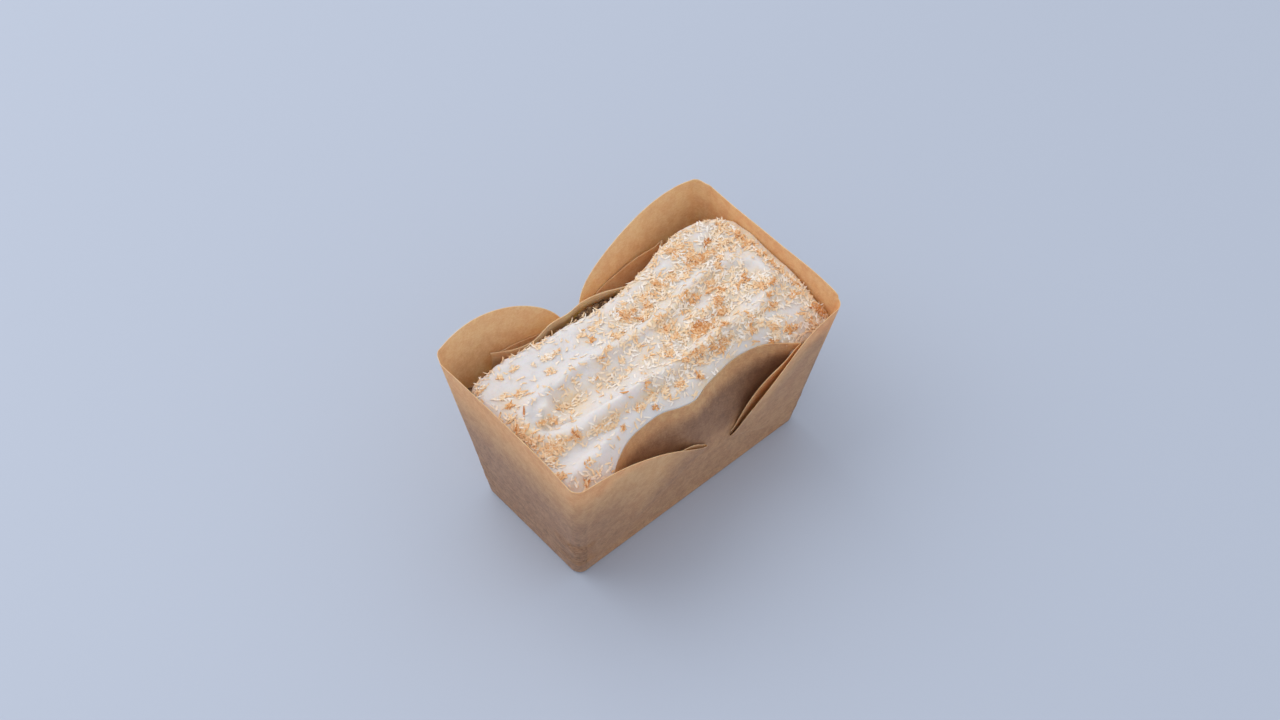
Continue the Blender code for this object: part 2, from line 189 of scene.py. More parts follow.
class Finish:
    """A material under construction, with its Principled shader ready."""

    def __init__(self, name):
        self.material = bpy.data.materials.new(name)
        self.material.use_nodes = True
        self.tree = self.material.node_tree
        self.shader = self.tree.nodes["Principled BSDF"]
        print("finish:", name)

    def add(self, kind, settings, sockets, output=0):
        """Adds a node: its settings are set first, then its sockets are filled or linked."""
        node = self.tree.nodes.new("ShaderNode" + kind)
        for key, value in settings.items():
            if key == "stops":
                self.set_stops(node.color_ramp, value)
            else:
                setattr(node, key, value)
        for key, value in sockets.items():
            self.fill(node.inputs[key], value)
        return Wire(self, node.outputs[output])

    def fill(self, socket, value):
        if isinstance(value, Wire):
            self.tree.links.new(value.socket, socket)
        elif socket.type == "RGBA" and len(value) == 3:
            socket.default_value = (*value, 1.0)
        else:
            socket.default_value = value

    def set_stops(self, ramp, stops):
        while len(ramp.elements) < len(stops):
            ramp.elements.new(0.5)
        for element, (place, colour) in zip(ramp.elements, stops):
            element.position = place
            element.color = (*colour, 1.0)

    def wear(self, **sockets):
        """Fills the shader's sockets, named with _ for a space."""
        for key, value in sockets.items():
            self.fill(self.shader.inputs[key.replace("_", " ")], value)

    def blend(self, share, first, second, how="MIX"):
        """A mix of two colours."""
        return self.add("Mix", {"data_type": "RGBA", "blend_type": how},
                        {0: share, 6: first, 7: second}, output=2)

    def shade(self, colour, share, pattern, dark, light):
        """A colour made softly darker and lighter by a pattern."""
        return self.blend(share, colour, self.blend(pattern, dark, light), "SOFT_LIGHT")

    def places(self, stretch=(1.0, 1.0, 1.0)):
        """Places on the piece, in millimetres, stretched where a pattern is drawn out."""
        spot = self.add("TexCoord", {}, {}, output=3)
        return self.add("Mapping", {}, {"Vector": spot, "Scale": tuple(part / MM for part in stretch)})

    def cloud(self, places, size, detail=3.0, rough=0.55, warp=0.0):
        """Soft noise from 0 to 1 with blotches of a size in millimetres."""
        return self.add("TexNoise", {}, {"Vector": places, "Scale": 1.0 / size, "Detail": detail,
                                         "Roughness": rough, "Distortion": warp})

    def between(self, value, low, high):
        """0 below low, 1 above high, softly."""
        return self.add("MapRange", {"interpolation_type": "SMOOTHSTEP"},
                        {"Value": value, "From Min": low, "From Max": high})

    def attribute(self, name):
        return self.add("Attribute", {"attribute_type": "GEOMETRY", "attribute_name": name}, {}, output=2)

    def relief(self, height, depth, before=None):
        """A Bump node: height from 0 to 1 stands for a depth in millimetres."""
        sockets = {"Height": height, "Distance": depth * MM, "Strength": 1.0}
        if before:
            sockets["Normal"] = before
        return self.add("Bump", {}, sockets)


# %% [markdown]
# ## Brown paper
#
# Unbleached baking paper is matt, with short fibres and faint clouds. Where it was pressed against
# the warm cake it has taken up fat, which makes it darker and blotchy; the free rims stay dry, and
# there the paper is also painted warm and light, as painted light for the light shining through it.
# The cut edge is a thin pale line. All of that follows the folds of the sheet, so it is written on
# the mesh as point attributes while the sheet is laid, and the finish reads them: dryness, which
# near the free rims also paints light; paleness, painted light for thin dry paper lit through from
# behind; fat, which on the near panel is also painted shade; pressed lines, partly grease marks and
# partly painted shade of the creases; and the cut edge.

# %% Brown paper
def brown_paper():
    paper = Finish("brown_paper")
    spots = paper.places()
    dry, pale, soak, crease, edge = (paper.attribute(name) for name in MARKS)
    clouds = paper.cloud(spots, 14.0, 4.0)
    fibres = paper.cloud(paper.places((1.0, 1.0, 1.6)), 0.8, 5.0, 0.75)
    mottle = paper.cloud(spots, 3.2, 4.0, 0.6)
    fat = paper.between(paper.cloud(spots, 1.4, 4.0, 0.65, 0.4), 0.50, 0.64)
    drawn = paper.between(paper.cloud(paper.places((1.0, 1.0, 0.10)), 0.9, 3.0), 0.45, 0.65)
    pressed = paper.between(paper.cloud(paper.places((0.30, 0.30, 1.3)), 1.3, 3.0), 0.51, 0.62)

    plain = paper.blend(clouds, (0.690, 0.370, 0.176), (0.765, 0.425, 0.208))
    # Paleness is painted light: thin dry paper lit through from behind
    lit = paper.blend(pale, plain, (0.835, 0.565, 0.350))
    greasy = paper.blend(clouds, (0.360, 0.194, 0.106), (0.425, 0.231, 0.127))
    blotched = paper.blend(fat * 0.62 * (1 - dry), greasy, (0.220, 0.118, 0.063))
    # Dry paper takes the lighter colour; near the free rims this is painted light for the light through the
    # thin paper
    tone = paper.blend(dry, blotched, lit)
    # Fat darkens the paper; on the near panel it is also painted shade, darker towards the right ear
    fat_and_shaded = paper.blend(soak, tone, (0.205, 0.105, 0.060))
    streaked = paper.blend(drawn * soak * 0.25, fat_and_shaded, (0.130, 0.066, 0.040))
    # Pressed lines: partly grease marks, partly painted shade of the creases
    lined = paper.blend(pressed * crease * 0.46, streaked, (0.170, 0.092, 0.052))
    cut = paper.blend(edge * 0.40, lined, (0.860, 0.620, 0.390))
    flecked = paper.shade(cut, 0.75, paper.between(fibres, 0.30, 0.70),
                          (0.36, 0.36, 0.36), (0.64, 0.64, 0.64))
    speckled = paper.shade(flecked, 0.8, paper.between(mottle, 0.36, 0.64),
                           (0.40, 0.40, 0.41), (0.59, 0.59, 0.58))
    surface = paper.relief(fibres, 0.05, paper.relief(clouds, 0.10))
    paper.wear(Base_Color=speckled, Roughness=0.50 + dry * 0.20, Normal=surface,
               Subsurface_Weight=0.45, Subsurface_Radius=(1.0, 0.74, 0.48), Subsurface_Scale=0.0008)
    return paper.material


MARKS = ("dry", "pale", "soak", "crease", "edge")
paper_finish = brown_paper()

# %% [markdown]
# ## The paper case
#
# The real case is one uncut sheet pressed into a flared loaf shape. Going round it, the sheet runs
# along an end, round a corner and onto the long side as an ear. At the ear's slanting fold it turns
# back on itself behind the ear, turns once more, and rises as the long side's own panel, whose
# upper part leans over the cake. So the whole wall is one strip with a few sharp turns: a grid whose
# columns are placed in that order, each column running from the foot up to the cut edge. The last
# column meets the first, and the foot is closed by the base. A Solidify gives the paper its body.

# %% Sizes of the case
BASE_LENGTH, BASE_WIDTH = mm(89.0, 43.3)
MOUTH_LENGTH, MOUTH_WIDTH = mm(104.0, 62.1)
CASE_HEIGHT = 61.6 * MM
BASE_CORNER, MOUTH_CORNER = mm(3.3, 3.4)
FOOT_ROUND = 0.9 * MM
PAPER = 0.18 * MM
LAYER = 0.22 * MM

# Heights of the cut edge along the two ends, as (y, z) in mm
END_TOPS = {
    LEFT: Curve((-31, 59.4), (-27, 59.8), (-21, 60.7), (-15, 61.5), (-9, 61.6), (31, 61.6)),
    RIGHT: Curve((-31, 59), (-29, 59.6), (-26, 60.6), (-22, 61), (0, 61), (24, 61), (31, 61.2)),
}

# The ears: tip, how round and full the edge is, flare, crest, how far both reach along the edge, the
# lip that stands off at the tip, and the pocket: how much of the panel's lean the folded layer takes
# at the tip and further along, and where along it the change ends; "show" is how high the folded
# layer stands above a near ear, and where along it that is reached and gone
EARS = {
    (NEAR, LEFT): {"tip": mm(2.3, 28.6), "round": 2.1, "full": 1.2, "flare": 0.3 * MM,
                   "crest": 0.0, "spread": 1.0, "skew": 1.0, "lip": 0.5 * MM,
                   "pocket": (1.0, 0.0, 0.28), "show": (0.9 * MM, 0.10, 0.30)},
    (NEAR, RIGHT): {"tip": mm(12.6, 23.0), "round": 2.29, "full": 0.92, "flare": 1.9 * MM,
                    "crest": 0.0, "spread": 2.5, "skew": 0.5, "lip": 0.9 * MM,
                    "pocket": (0.6, 0.2, 0.7), "show": (1.5 * MM, 0.25, 1.0)},
    (FAR, LEFT): {"tip": mm(-5.5, 33.0), "round": 1.75, "full": 0.33, "flare": 4.1 * MM,
                  "crest": 1.75 * MM, "spread": 0.76, "skew": 1.1, "lip": 0.0, "pocket": (0.1, 0.1, 0.5)},
    (FAR, RIGHT): {"tip": mm(-1.0, 33.0), "round": 1.65, "full": 0.2, "flare": 3.7 * MM,
                   "crest": 0.98 * MM, "spread": 0.52, "skew": 1.87, "lip": 0.0, "pocket": (0.1, 0.1, 0.5)},
}
# The panels: the height where they leave the wall, how much they roll out again at the top, and
# their free edge as (x, distance from the middle, z) in mm
PANELS = {
    NEAR: {"root": 21.0 * MM, "roll": 0.0, "edge": (
        (-37.5, 29.6, 52), (-33.8, 26.6, 50), (-29.6, 23.9, 50), (-24, 21.4, 50), (-16.5, 20.4, 50),
        (-10.5, 20.5, 50), (-5, 22.5, 50), (-0.3, 23.3, 50), (5, 21.7, 50), (11, 20.5, 50),
        (22, 19.9, 50), (28, 22.5, 51.4), (35.3, 29.7, 53))},
    FAR: {"root": 32.0 * MM, "roll": 0.5 * MM, "edge": (
        (-33.2, 30.6, 49), (-28.2, 26.9, 50), (-22.5, 25.3, 50), (-13, 26.7, 50), (-7, 26.3, 50),
        (-1, 26.9, 50), (6, 25.6, 50), (13.5, 22.8, 50), (22, 24.3, 50), (29, 26.6, 50),
        (32.8, 29.3, 49.5))},
}
PANEL_EDGE = {side: Curve(*((x, y) for x, y, z in panel["edge"])) for side, panel in PANELS.items()}
PANEL_TOP = {side: Curve(*((x, z) for x, y, z in panel["edge"])) for side, panel in PANELS.items()}
# How a panel bends inwards, and over which shares of its height it rolls out and back
PANEL_BEND, MOST_UP, ROLL_OUT, ROLL_BACK = 1.8, 1.15, (0.68, 0.88), (0.90, 1.05)
# Heights of the folded layers behind the far ears
FAR_LAYER = {LEFT: 43.0 * MM, RIGHT: 46.8 * MM}
# How soon the lip at an ear's tip stands off, how far down it reaches and where along the ear it
# fades, and from which share of the tip's height an ear flares
LIP_ROUND, LIP_DEPTH, LIP_FADE, FLARE_FROM = 0.7 * MM, 9.0 * MM, (0.1, 0.7), 0.7

# The far left corner is pressed out a little at the top
CORNER_FLARE, CORNER_FADE, CORNER_FROM = mm(0.15, 14.0, 25.0)


def half_length(height):
    return mix(BASE_LENGTH, MOUTH_LENGTH, height / CASE_HEIGHT) / 2


def half_width(height):
    return mix(BASE_WIDTH, MOUTH_WIDTH, height / CASE_HEIGHT) / 2


def corner_radius(height):
    return mix(BASE_CORNER, MOUTH_CORNER, height / CASE_HEIGHT)


def foot_inset(height):
    """How far the rounded foot draws the wall in."""
    left = max(FOOT_ROUND - height, 0.0)
    return FOOT_ROUND - math.sqrt(FOOT_ROUND ** 2 - left ** 2)


def corner_flare(side, end, away, height):
    """How far the case is pressed out at a height, away from its far left corner."""
    if (side, end) != (FAR, LEFT):
        return 0.0
    return CORNER_FLARE * smooth(CORNER_FROM, CASE_HEIGHT, height) * (1 - smooth(0.0, CORNER_FADE, away))


def corner_top(side, end):
    return END_TOPS[end](side * MOUTH_WIDTH / 2)


def ear_share(side, end, x):
    """How far along an ear's edge a place lies, from 0 at its tip to 1 at the corner."""
    tip_x = EARS[side, end]["tip"][0]
    return np.clip((x - tip_x) / (end * MOUTH_LENGTH / 2 - tip_x), 0.0, 1.0)


def ear_swell(side, end, share):
    """0 at the tip and at the corner, 1 where the ear stands out most."""
    ear = EARS[side, end]
    return max(math.sin(math.pi * share ** ear["skew"]), 0.0) ** ear["spread"]


def ear_height(side, end, x):
    """Height of an ear's cut edge, from its tip up to the corner of the case."""
    ear = EARS[side, end]
    share = ear_share(side, end, x)
    rise = (1 - (1 - share) ** ear["round"]) ** ear["full"]
    return mix(ear["tip"][1], corner_top(side, end), rise) + ear["crest"] * ear_swell(side, end, share)


def ear_flare(side, end, x, height):
    """How far an ear stands out from the plain wall."""
    ear = EARS[side, end]
    share = ear_share(side, end, x)
    away = MOUTH_LENGTH / 2 - abs(x)
    off_tip = abs(x - ear["tip"][0])
    rim = ear_height(side, end, x)
    lip = ear["lip"] * (1 - math.exp(-off_tip / LIP_ROUND)) * (1 - smooth(*LIP_FADE, share))
    lip *= smooth(rim - LIP_DEPTH, rim, height)
    swell = ear["flare"] * ear_swell(side, end, share)
    swell *= smooth(ear["tip"][1] * FLARE_FROM, CASE_HEIGHT, height)
    return swell + lip + corner_flare(side, end, away, height)


def panel_lean(side, x, height):
    """How far a panel has left the plain wall, inwards."""
    panel = PANELS[side]
    top = PANEL_TOP[side](x)
    up = np.clip((height - panel["root"]) / (top - panel["root"]), 0.0, MOST_UP)
    roll = panel["roll"] * (smooth(*ROLL_OUT, up) - smooth(*ROLL_BACK, up))
    return (half_width(top) - PANEL_EDGE[side](x)) * up ** PANEL_BEND + roll


print("walls lean out by", round(math.degrees(math.atan2(MOUTH_LENGTH - BASE_LENGTH, 2 * CASE_HEIGHT)), 1),
      "degrees at the ends")

# %% Columns of the strip
# Each maker below returns a function that gives, at a share of the column's height, the point and
# the marks of the paper there: dryness, paleness, fat and pressed lines. Near the free rims dryness
# is also painted light, paleness is painted light through the paper, fat on the near panel is also
# painted shade, and pressed lines are partly painted shade of the creases. `depth` is how far inside
# the outermost layer the sheet lies. Pairs of heights say where a mark starts and where it is full.

# The ends grow dry between these heights; above the cake the dry paper is also painted lighter, as painted
# light through it
END_DRY_AND_LIT, MOST_DRY_AND_LIT = mm(28, 57), 0.95
# Over these heights the free paper grows dry and is painted warm and light, as painted light through it
DRY_AND_LIT_HEIGHTS = mm(8, 36)
# Pressed lines at the foot, partly grease marks and partly painted shade of the creases: where they start
# and are full, where they fade, and how strong at each end
CREASE_STARTS, CREASE_ENDS, CREASE = mm(1, 4), mm(24, 13), {LEFT: 1.0, RIGHT: 0.5}
LAYERS_PART = 4 * MM
# How much paleness, painted light through thin paper lit from behind, the ends and the corners get
END_LIT_THROUGH, CORNER_LIT_THROUGH = {LEFT: 0.0, RIGHT: 0.20}, {NEAR: 0.0, FAR: 0.4}
CORNER_TO_SIDE = (0.3, 1.0)

# How far below its rim an ear is dry and painted lighter, as painted light through the free paper,
# how dry it is low down, and how much paleness, painted light through the paper, the far ones get
EAR_LIT_DEPTH, NEAR_LEFT_LIT_DEPTH, EAR_FULLY_LIT_DEPTH = mm(14, 30, 2)
NEAR_EAR_LOW, FAR_EAR_LOW, FAR_EAR_LIT_THROUGH = {LEFT: 0.12, RIGHT: 0.30}, (0.2, 0.75), 0.66
EAR_DRY_AND_LIT_ALONG = (0.0, 0.35)

# The layer folded behind an ear: its marks, where a far one gets some paleness, painted light through
# the paper, how late along it it joins the panel, how soon the edge of a far one rises from the tip,
# and how soon its pocket opens
GUSSET_MARKS = {NEAR: (MOST_DRY_AND_LIT, 0.0, 0.0, 0.0), FAR: (1.0, 0.3, 0.0, 0.0)}
JOINS, FAR_RISES, POCKET_OPENS = {NEAR: 16, FAR: 6}, 10, 6

# The near panel is soaked from a height up to a dry band along its edge, and more to the right: fat,
# and also painted shade, darker towards the right ear; the band is also painted lighter. The far panel
# is paler towards the right, with painted light through the paper
FAT_AND_SHADE_STARTS, FAT_AND_SHADE_ALONG, FAT_AND_SHADE = mm(26, 34), mm(-8, 24), (0.50, 0.85)
BAND_STARTS, BAND_ENDS, BAND = 8.0 * MM, 2.5 * MM, 0.75
LIT_THROUGH_ALONG, FAR_PANEL_DRY_AND_LIT, FAR_PANEL_LIT_THROUGH = mm(-32, -16), (0.2, 1.0), (0.2, 1.0)


def end_dry_and_lit(height):
    """How dry an end of the case is at a height; above the cake the dry paper is also painted lighter, as
    painted light through it.
    """
    return MOST_DRY_AND_LIT * smooth(*END_DRY_AND_LIT, height)


def crease_and_shade_at(end, height):
    """How strongly the foot of the case is lined where it was pressed, most at the left end: partly grease
    marks, partly painted shade of the creases.
    """
    return CREASE[end] * smooth(*CREASE_STARTS, height) * smooth(*CREASE_ENDS, height)


def layer_depth(layers, height):
    """Depth of the sheet's middle, for the first, second or third layer at a side."""
    return PAPER / 2 + layers * LAYER * smooth(0.0, LAYERS_PART, height)


def end_column(end, across):
    top = END_TOPS[end](across * (MOUTH_WIDTH / 2 - MOUTH_CORNER))

    def place(share):
        z = share * top
        y = across * (half_width(z) - corner_radius(z))
        away = half_width(z) - abs(y)
        out = corner_flare(FAR if y > 0 else NEAR, end, away, z) - foot_inset(z) - layer_depth(0, z)
        return (end * (half_length(z) + out), y, z), (end_dry_and_lit(z), END_LIT_THROUGH[end], 0.0, crease_and_shade_at(end, z))
    return place


def corner_column(end, side, turn):
    """turn goes from 0 at the end to 1 at the long side."""
    start = end * (MOUTH_LENGTH / 2 - MOUTH_CORNER)
    onto_side = smooth(*CORNER_TO_SIDE, turn)
    top = mix(corner_top(side, end), ear_height(side, end, start), onto_side)

    def place(share):
        z = share * top
        out = mix(corner_flare(side, end, 0.0, z), ear_flare(side, end, start, z), onto_side)
        out -= foot_inset(z) + layer_depth(0, z)
        radius = corner_radius(z)
        angle = turn * math.pi / 2
        x = half_length(z) - radius + (radius + out) * math.cos(angle)
        y = half_width(z) - radius + (radius + out) * math.sin(angle)
        return (end * x, side * y, z), (end_dry_and_lit(z), CORNER_LIT_THROUGH[side], 0.0, crease_and_shade_at(end, z))
    return place


def side_point(side, x, z, depth):
    return x, side * (half_width(z) - foot_inset(z) - depth), z


def ray(side, end, top_x, top_z, layers, depth_at, marks_at):
    """A straight column from the foot of a corner to a point of the sheet's free edge."""
    reach = abs(end * (half_length(top_z) - corner_radius(top_z)) - top_x)

    def place(share):
        z = share * top_z
        x = end * (half_length(z) - corner_radius(z) - share * reach)
        depth = layer_depth(layers, z) + depth_at(x, z)
        return side_point(side, x, z, depth), marks_at(z)
    return place


def ear_column(side, end, along):
    """along goes from 0 at the corner to 1 at the tip."""
    tip_x = EARS[side, end]["tip"][0]
    start = end * (MOUTH_LENGTH / 2 - MOUTH_CORNER)
    x = mix(start, tip_x, along)
    z = ear_height(side, end, x)
    lit_depth = NEAR_LEFT_LIT_DEPTH if (side, end) == (NEAR, LEFT) else EAR_LIT_DEPTH
    rim = smooth(*EAR_DRY_AND_LIT_ALONG, ear_share(side, end, x)) if side == NEAR else 1.0

    # An ear is dry and painted lighter near its rim, as painted light through the free paper; a far one also
    # gets paleness, painted light through the paper, rising with height
    def marks_at(height):
        risen = smooth(*DRY_AND_LIT_HEIGHTS, height)
        low = NEAR_EAR_LOW[end] if side == NEAR else mix(*FAR_EAR_LOW, risen)
        pale = 0.0 if side == NEAR else FAR_EAR_LIT_THROUGH * risen
        return mix(low, 1.0, rim * smooth(lit_depth, EAR_FULLY_LIT_DEPTH, z - height)), pale, 0.0, 0.0

    return ray(side, end, x, z, 0, lambda x, z: -ear_flare(side, end, x, z), marks_at)


def gusset_column(side, end, along, layers):
    """The layer folded behind an ear. along goes from 0 at the tip to 1 at the inner fold."""
    ear = EARS[side, end]
    tip_x, tip_z = ear["tip"]
    inner_x = PANELS[side]["edge"][0 if end == LEFT else -1][0] * MM
    inner_z = PANEL_TOP[side](inner_x)
    x = mix(tip_x, inner_x, along)
    if side == NEAR:
        height, full, gone = ear["show"]
        z_top = ear_height(side, end, x) - (ear_height(side, end, inner_x) - inner_z) * along ** 3
        z_top += height * smooth(0.0, full, along) * smooth(gone, full, along)
    else:
        z_top = mix(tip_z, mix(FAR_LAYER[end], inner_z, along ** 2), 1 - (1 - along) ** FAR_RISES)
    at_tip, further, reach = ear["pocket"]
    in_pocket = min(along / reach, 1.0)
    share_taken = mix(at_tip, further, in_pocket) * math.sin(math.pi * min(along * POCKET_OPENS, 0.5))

    def depth_at(x, z):
        lean = panel_lean(side, x, z)
        lip = ear["lip"] * (1 - in_pocket) * smooth(z_top - LIP_DEPTH, z_top, z)
        behind_ear = share_taken * max(lean, 0.0) + lip - ear_flare(side, end, x, z)
        return mix(behind_ear, lean, along ** JOINS[side])

    return ray(side, end, x, z_top, layers, depth_at, lambda height: GUSSET_MARKS[side])


def panel_column(side, along):
    """along goes from 0 at the left inner fold to 1 at the right one."""
    left, right = (PANELS[side]["edge"][index][0] * MM for index in (0, -1))
    top_x = mix(left, right, along)
    foot = half_length(0.0) - corner_radius(0.0)
    foot_x = mix(-foot, foot, along)
    top_z = PANEL_TOP[side](top_x)

    # The near panel: dry and painted lighter in a band along its edge, below it fat that is also painted
    # shade, darker towards the right ear
    def near_marks(x, z):
        band = smooth(top_z - BAND_STARTS, top_z - BAND_ENDS, z)
        soak = smooth(*FAT_AND_SHADE_STARTS, z) * mix(*FAT_AND_SHADE, smooth(*FAT_AND_SHADE_ALONG, x)) * (1 - BAND * band)
        return mix(1 - BAND, 1.0, band), 0.0, soak, 0.0

    # The far panel grows drier higher up, and paler higher up and towards the right: painted light through
    # the paper
    def far_marks(x, z):
        risen = smooth(*DRY_AND_LIT_HEIGHTS, z)
        pale = risen * mix(*FAR_PANEL_LIT_THROUGH, smooth(*LIT_THROUGH_ALONG, x))
        return mix(*FAR_PANEL_DRY_AND_LIT, risen), pale, 0.0, 0.0

    def place(share):
        z = share * top_z
        x = mix(foot_x, top_x, share)
        depth = layer_depth(2, z) + panel_lean(side, x, z)
        marks = near_marks(x, z) if side == NEAR else far_marks(x, z)
        return side_point(side, x, z, depth), marks
    return place


# %% Lay the strip round the case
END_STEPS, CORNER_STEPS, EAR_STEPS, GUSSET_STEPS, PANEL_STEPS = 26, 8, 34, 16, 66
TIP_CROWDING = 1.5
# Rows of the grid, as shares of a column's height: a few at the rounded foot, fine ones where the
# corners are pleated, then the wall, and the last just under the cut edge
FOOT_ROWS = (0.0, 0.0015, 0.004, 0.008, 0.013, 0.02, 0.03, 0.045)
FINE_FROM, FINE_TO, FINE_ROWS = 0.06, 0.38, 64
WALL_ROWS, LAST_ROW = 30, 0.994
# Depth and size of the buckles and pleats, and the places where each starts and is full
BUCKLE, BUCKLE_SIZE, BUCKLE_RISE = 0.22 * MM, 17.0 * MM, mm(2, 25)
PLEAT, PLEAT_STEP, PLEAT_BEND = 0.20 * MM, 1.35 * MM, 0.09
PLEAT_REACH, PLEAT_FOOT, PLEAT_TOP = mm(15, 1), mm(4, 8), mm(24, 18)
PLEAT_WANDERS, PLEAT_WANDER, PLEAT_ELSEWHERE = 0.7, 4 * MM, 0.55
# The sheet stands on its own thickness; its foot is what lies below FOOT_EDGES
FOOT_LIFT, FOOT_EDGES, WELD = 0.6 * PAPER, 5 * MM, 0.002 * MM


def steps(count, first=0):
    return [step / count for step in range(first, count + 1)]


def crowded_ends(share, amount=0.5):
    """Shares from 0 to 1 that lie closer together towards both ends."""
    return mix(share, (1 - np.cos(np.pi * share)) / 2, amount)


def side_columns(side):
    """The columns of one long side, from the left corner to the right one."""
    columns = []
    for end in (LEFT, RIGHT):
        crowded = [1 - (1 - share) ** TIP_CROWDING for share in steps(EAR_STEPS, 1)]
        part = [ear_column(side, end, along) for along in crowded]
        part += [gusset_column(side, end, 0.0, 0.5)]
        part += [gusset_column(side, end, share ** TIP_CROWDING, 1) for share in steps(GUSSET_STEPS)]
        part += [gusset_column(side, end, 1.0, 1.5)]
        if end == LEFT:
            columns += part + [panel_column(side, along) for along in steps(PANEL_STEPS)]
        else:
            columns += part[::-1]
    return columns


def strip_columns():
    """All columns, once round the case, anticlockwise from the left end's far corner."""
    across = [2 * crowded_ends(share, 0.7) - 1 for share in steps(END_STEPS)]
    turns = steps(CORNER_STEPS, 1)
    columns = [end_column(LEFT, -place) for place in across]
    columns += [corner_column(LEFT, NEAR, turn) for turn in turns]
    columns += side_columns(NEAR)
    columns += [corner_column(RIGHT, NEAR, turn) for turn in turns[::-1]]
    columns += [end_column(RIGHT, place) for place in across]
    columns += [corner_column(RIGHT, FAR, turn) for turn in turns]
    columns += side_columns(FAR)[::-1]
    columns += [corner_column(LEFT, FAR, turn) for turn in turns[::-1]]
    return columns


def strip_rows():
    fine = [mix(FINE_FROM, FINE_TO, share) for share in steps(FINE_ROWS)]
    wall = [mix(FINE_TO, LAST_ROW, share) for share in steps(WALL_ROWS, 1)]
    return list(FOOT_ROWS) + fine + wall + [1.0]


def corner_pleat(spot, side, end):
    """The pleats that the spare width of the sheet was pressed into at the corners."""
    x, y, z = spot
    away = math.hypot(half_length(z) - abs(x), half_width(z) - abs(y))
    near_corner = smooth(*PLEAT_REACH, away) * smooth(*PLEAT_FOOT, z) * smooth(*PLEAT_TOP, z)
    wander = PLEAT_WANDERS * noise.noise(Vector((away, side * z, end * z)) / PLEAT_WANDER)
    phase = (z - PLEAT_BEND * away * away / MM) / PLEAT_STEP + wander
    here = noise.noise(Vector((end * 5, side * 5, z / (5 * MM))))
    here += 0.55 * noise.noise(Vector(spot) / (3 * MM))
    strength = 1.0 if (side, end) == (NEAR, LEFT) else PLEAT_ELSEWHERE
    return PLEAT * strength * near_corner * math.sin(math.tau * phase) * (0.75 + 1.2 * here)


def buckle(spot):
    """The unevenness of a sheet that was pressed, filled and baked, and the pleats at its corners."""
    x, y, z = spot
    side, end = math.copysign(1.0, y), math.copysign(1.0, x)
    slow = 1.6 * BUCKLE_SIZE
    at_side = noise.noise(Vector((x / BUCKLE_SIZE, side * 3.7, z / slow)))
    at_end = noise.noise(Vector((end * 9.1, y / BUCKLE_SIZE, z / slow)))
    rise = smooth(*BUCKLE_RISE, z) * BUCKLE
    pleat = corner_pleat(spot, side, end)
    return Vector((at_end * rise + end * pleat, at_side * rise + side * pleat, 0.0))


def paper_case():
    columns, rows = strip_columns(), strip_rows()
    across, up = len(columns), len(rows) - 1
    bm = bmesh.new()
    bmesh.ops.create_grid(bm, x_segments=across, y_segments=up, size=1.0)
    layers = [bm.verts.layers.float.new(name) for name in MARKS]
    for vert in bm.verts:
        column = round((vert.co.x + 1) / 2 * across) % across
        row = round((vert.co.y + 1) / 2 * up)
        place, marks = columns[column](rows[row])
        vert.co = Vector(place) + buckle(place)
        vert.co.z += FOOT_LIFT * (1 - rows[row])
        for layer, mark in zip(layers, (*marks, 1.0 if row == up else 0.0)):
            vert[layer] = mark
    bmesh.ops.remove_doubles(bm, verts=bm.verts, dist=WELD)
    foot = [edge for edge in bm.edges if edge.is_boundary and max(v.co.z for v in edge.verts) < FOOT_EDGES]
    bmesh.ops.contextual_create(bm, geom=foot)
    bmesh.ops.recalc_face_normals(bm, faces=bm.faces)
    case = piece_from(bm, "paper_sheet", paper_finish)
    wall = case.modifiers.new("paper", "SOLIDIFY")
    wall.thickness = PAPER
    wall.offset = 0.0
    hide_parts("paper_case")
    return case


case = paper_case()

# %% [markdown]
# ## Icing
#
# The icing was spread with a spatula in long strokes along the cake, which left ridges, a hollow at
# the left that curls round, and a furrow along the near side. Those are real heights, so they are in
# the mesh: a fine grid fitted between the edges of the spread, raised by a sum of strokes. Under
# them lie the fine drawn-out streaks of a spatula and the small lumps of whipped cream cheese.

# %% Outline of the icing
ICING_LEFT, ICING_RIGHT = mm(-50.1, 50.2)
# Heights of the rim, the foot and the crown, then how far the crown lifts at the right and falls at the
# near right, and how much higher the near rim is
ICING_RIM, ICING_FOOT, ICING_CROWN = mm(49.0, 46.4, 54.8)
RIGHT_LIFT, NEAR_FALL, NEAR_RIM = mm(2.2, 3.0, 1.8)
PAPER_GAP = 0.55 * MM
WALL_SLOPE = (MOUTH_LENGTH - BASE_LENGTH) / 2 / CASE_HEIGHT
# How far in from each edge the crown is reached, and how gently the near shoulder starts
SHOULDERS = {"near": 6.5 * MM, "far": 4.5 * MM, "left": 3.0 * MM, "right": 2.5 * MM}
NEAR_SLOPE = 1.5

FAR_OUTLINE = Curve(
    (-50.1, 15), (-47.2, 21.3), (-42, 23), (-35, 24), (-28, 23.2), (-19.5, 22.2), (-11, 21.6), (-4, 20.4),
    (7, 20.8), (18, 22.3), (30, 25.3), (37, 25.5), (43, 23.8), (47, 21), (50.2, 15.5))
NEAR_LIMIT = Curve(
    (-50.1, 26.2), (-48.5, 27.5), (-44, 27.9), (-40, 27.9), (0, 27.9), (40, 27.9), (44, 27.9),
    (48.7, 27.6), (50.2, 26.6))

# How high the icing stands against the right end, as (y, z) in mm
RIGHT_CONTACT = Curve(
    (-28, 49.5), (-21, 49.8), (-15.6, 52.3), (-9.5, 54), (-1.5, 54.8), (4.6, 55.8), (8, 56.6),
    (12.7, 55.8), (16.5, 55), (22, 53))

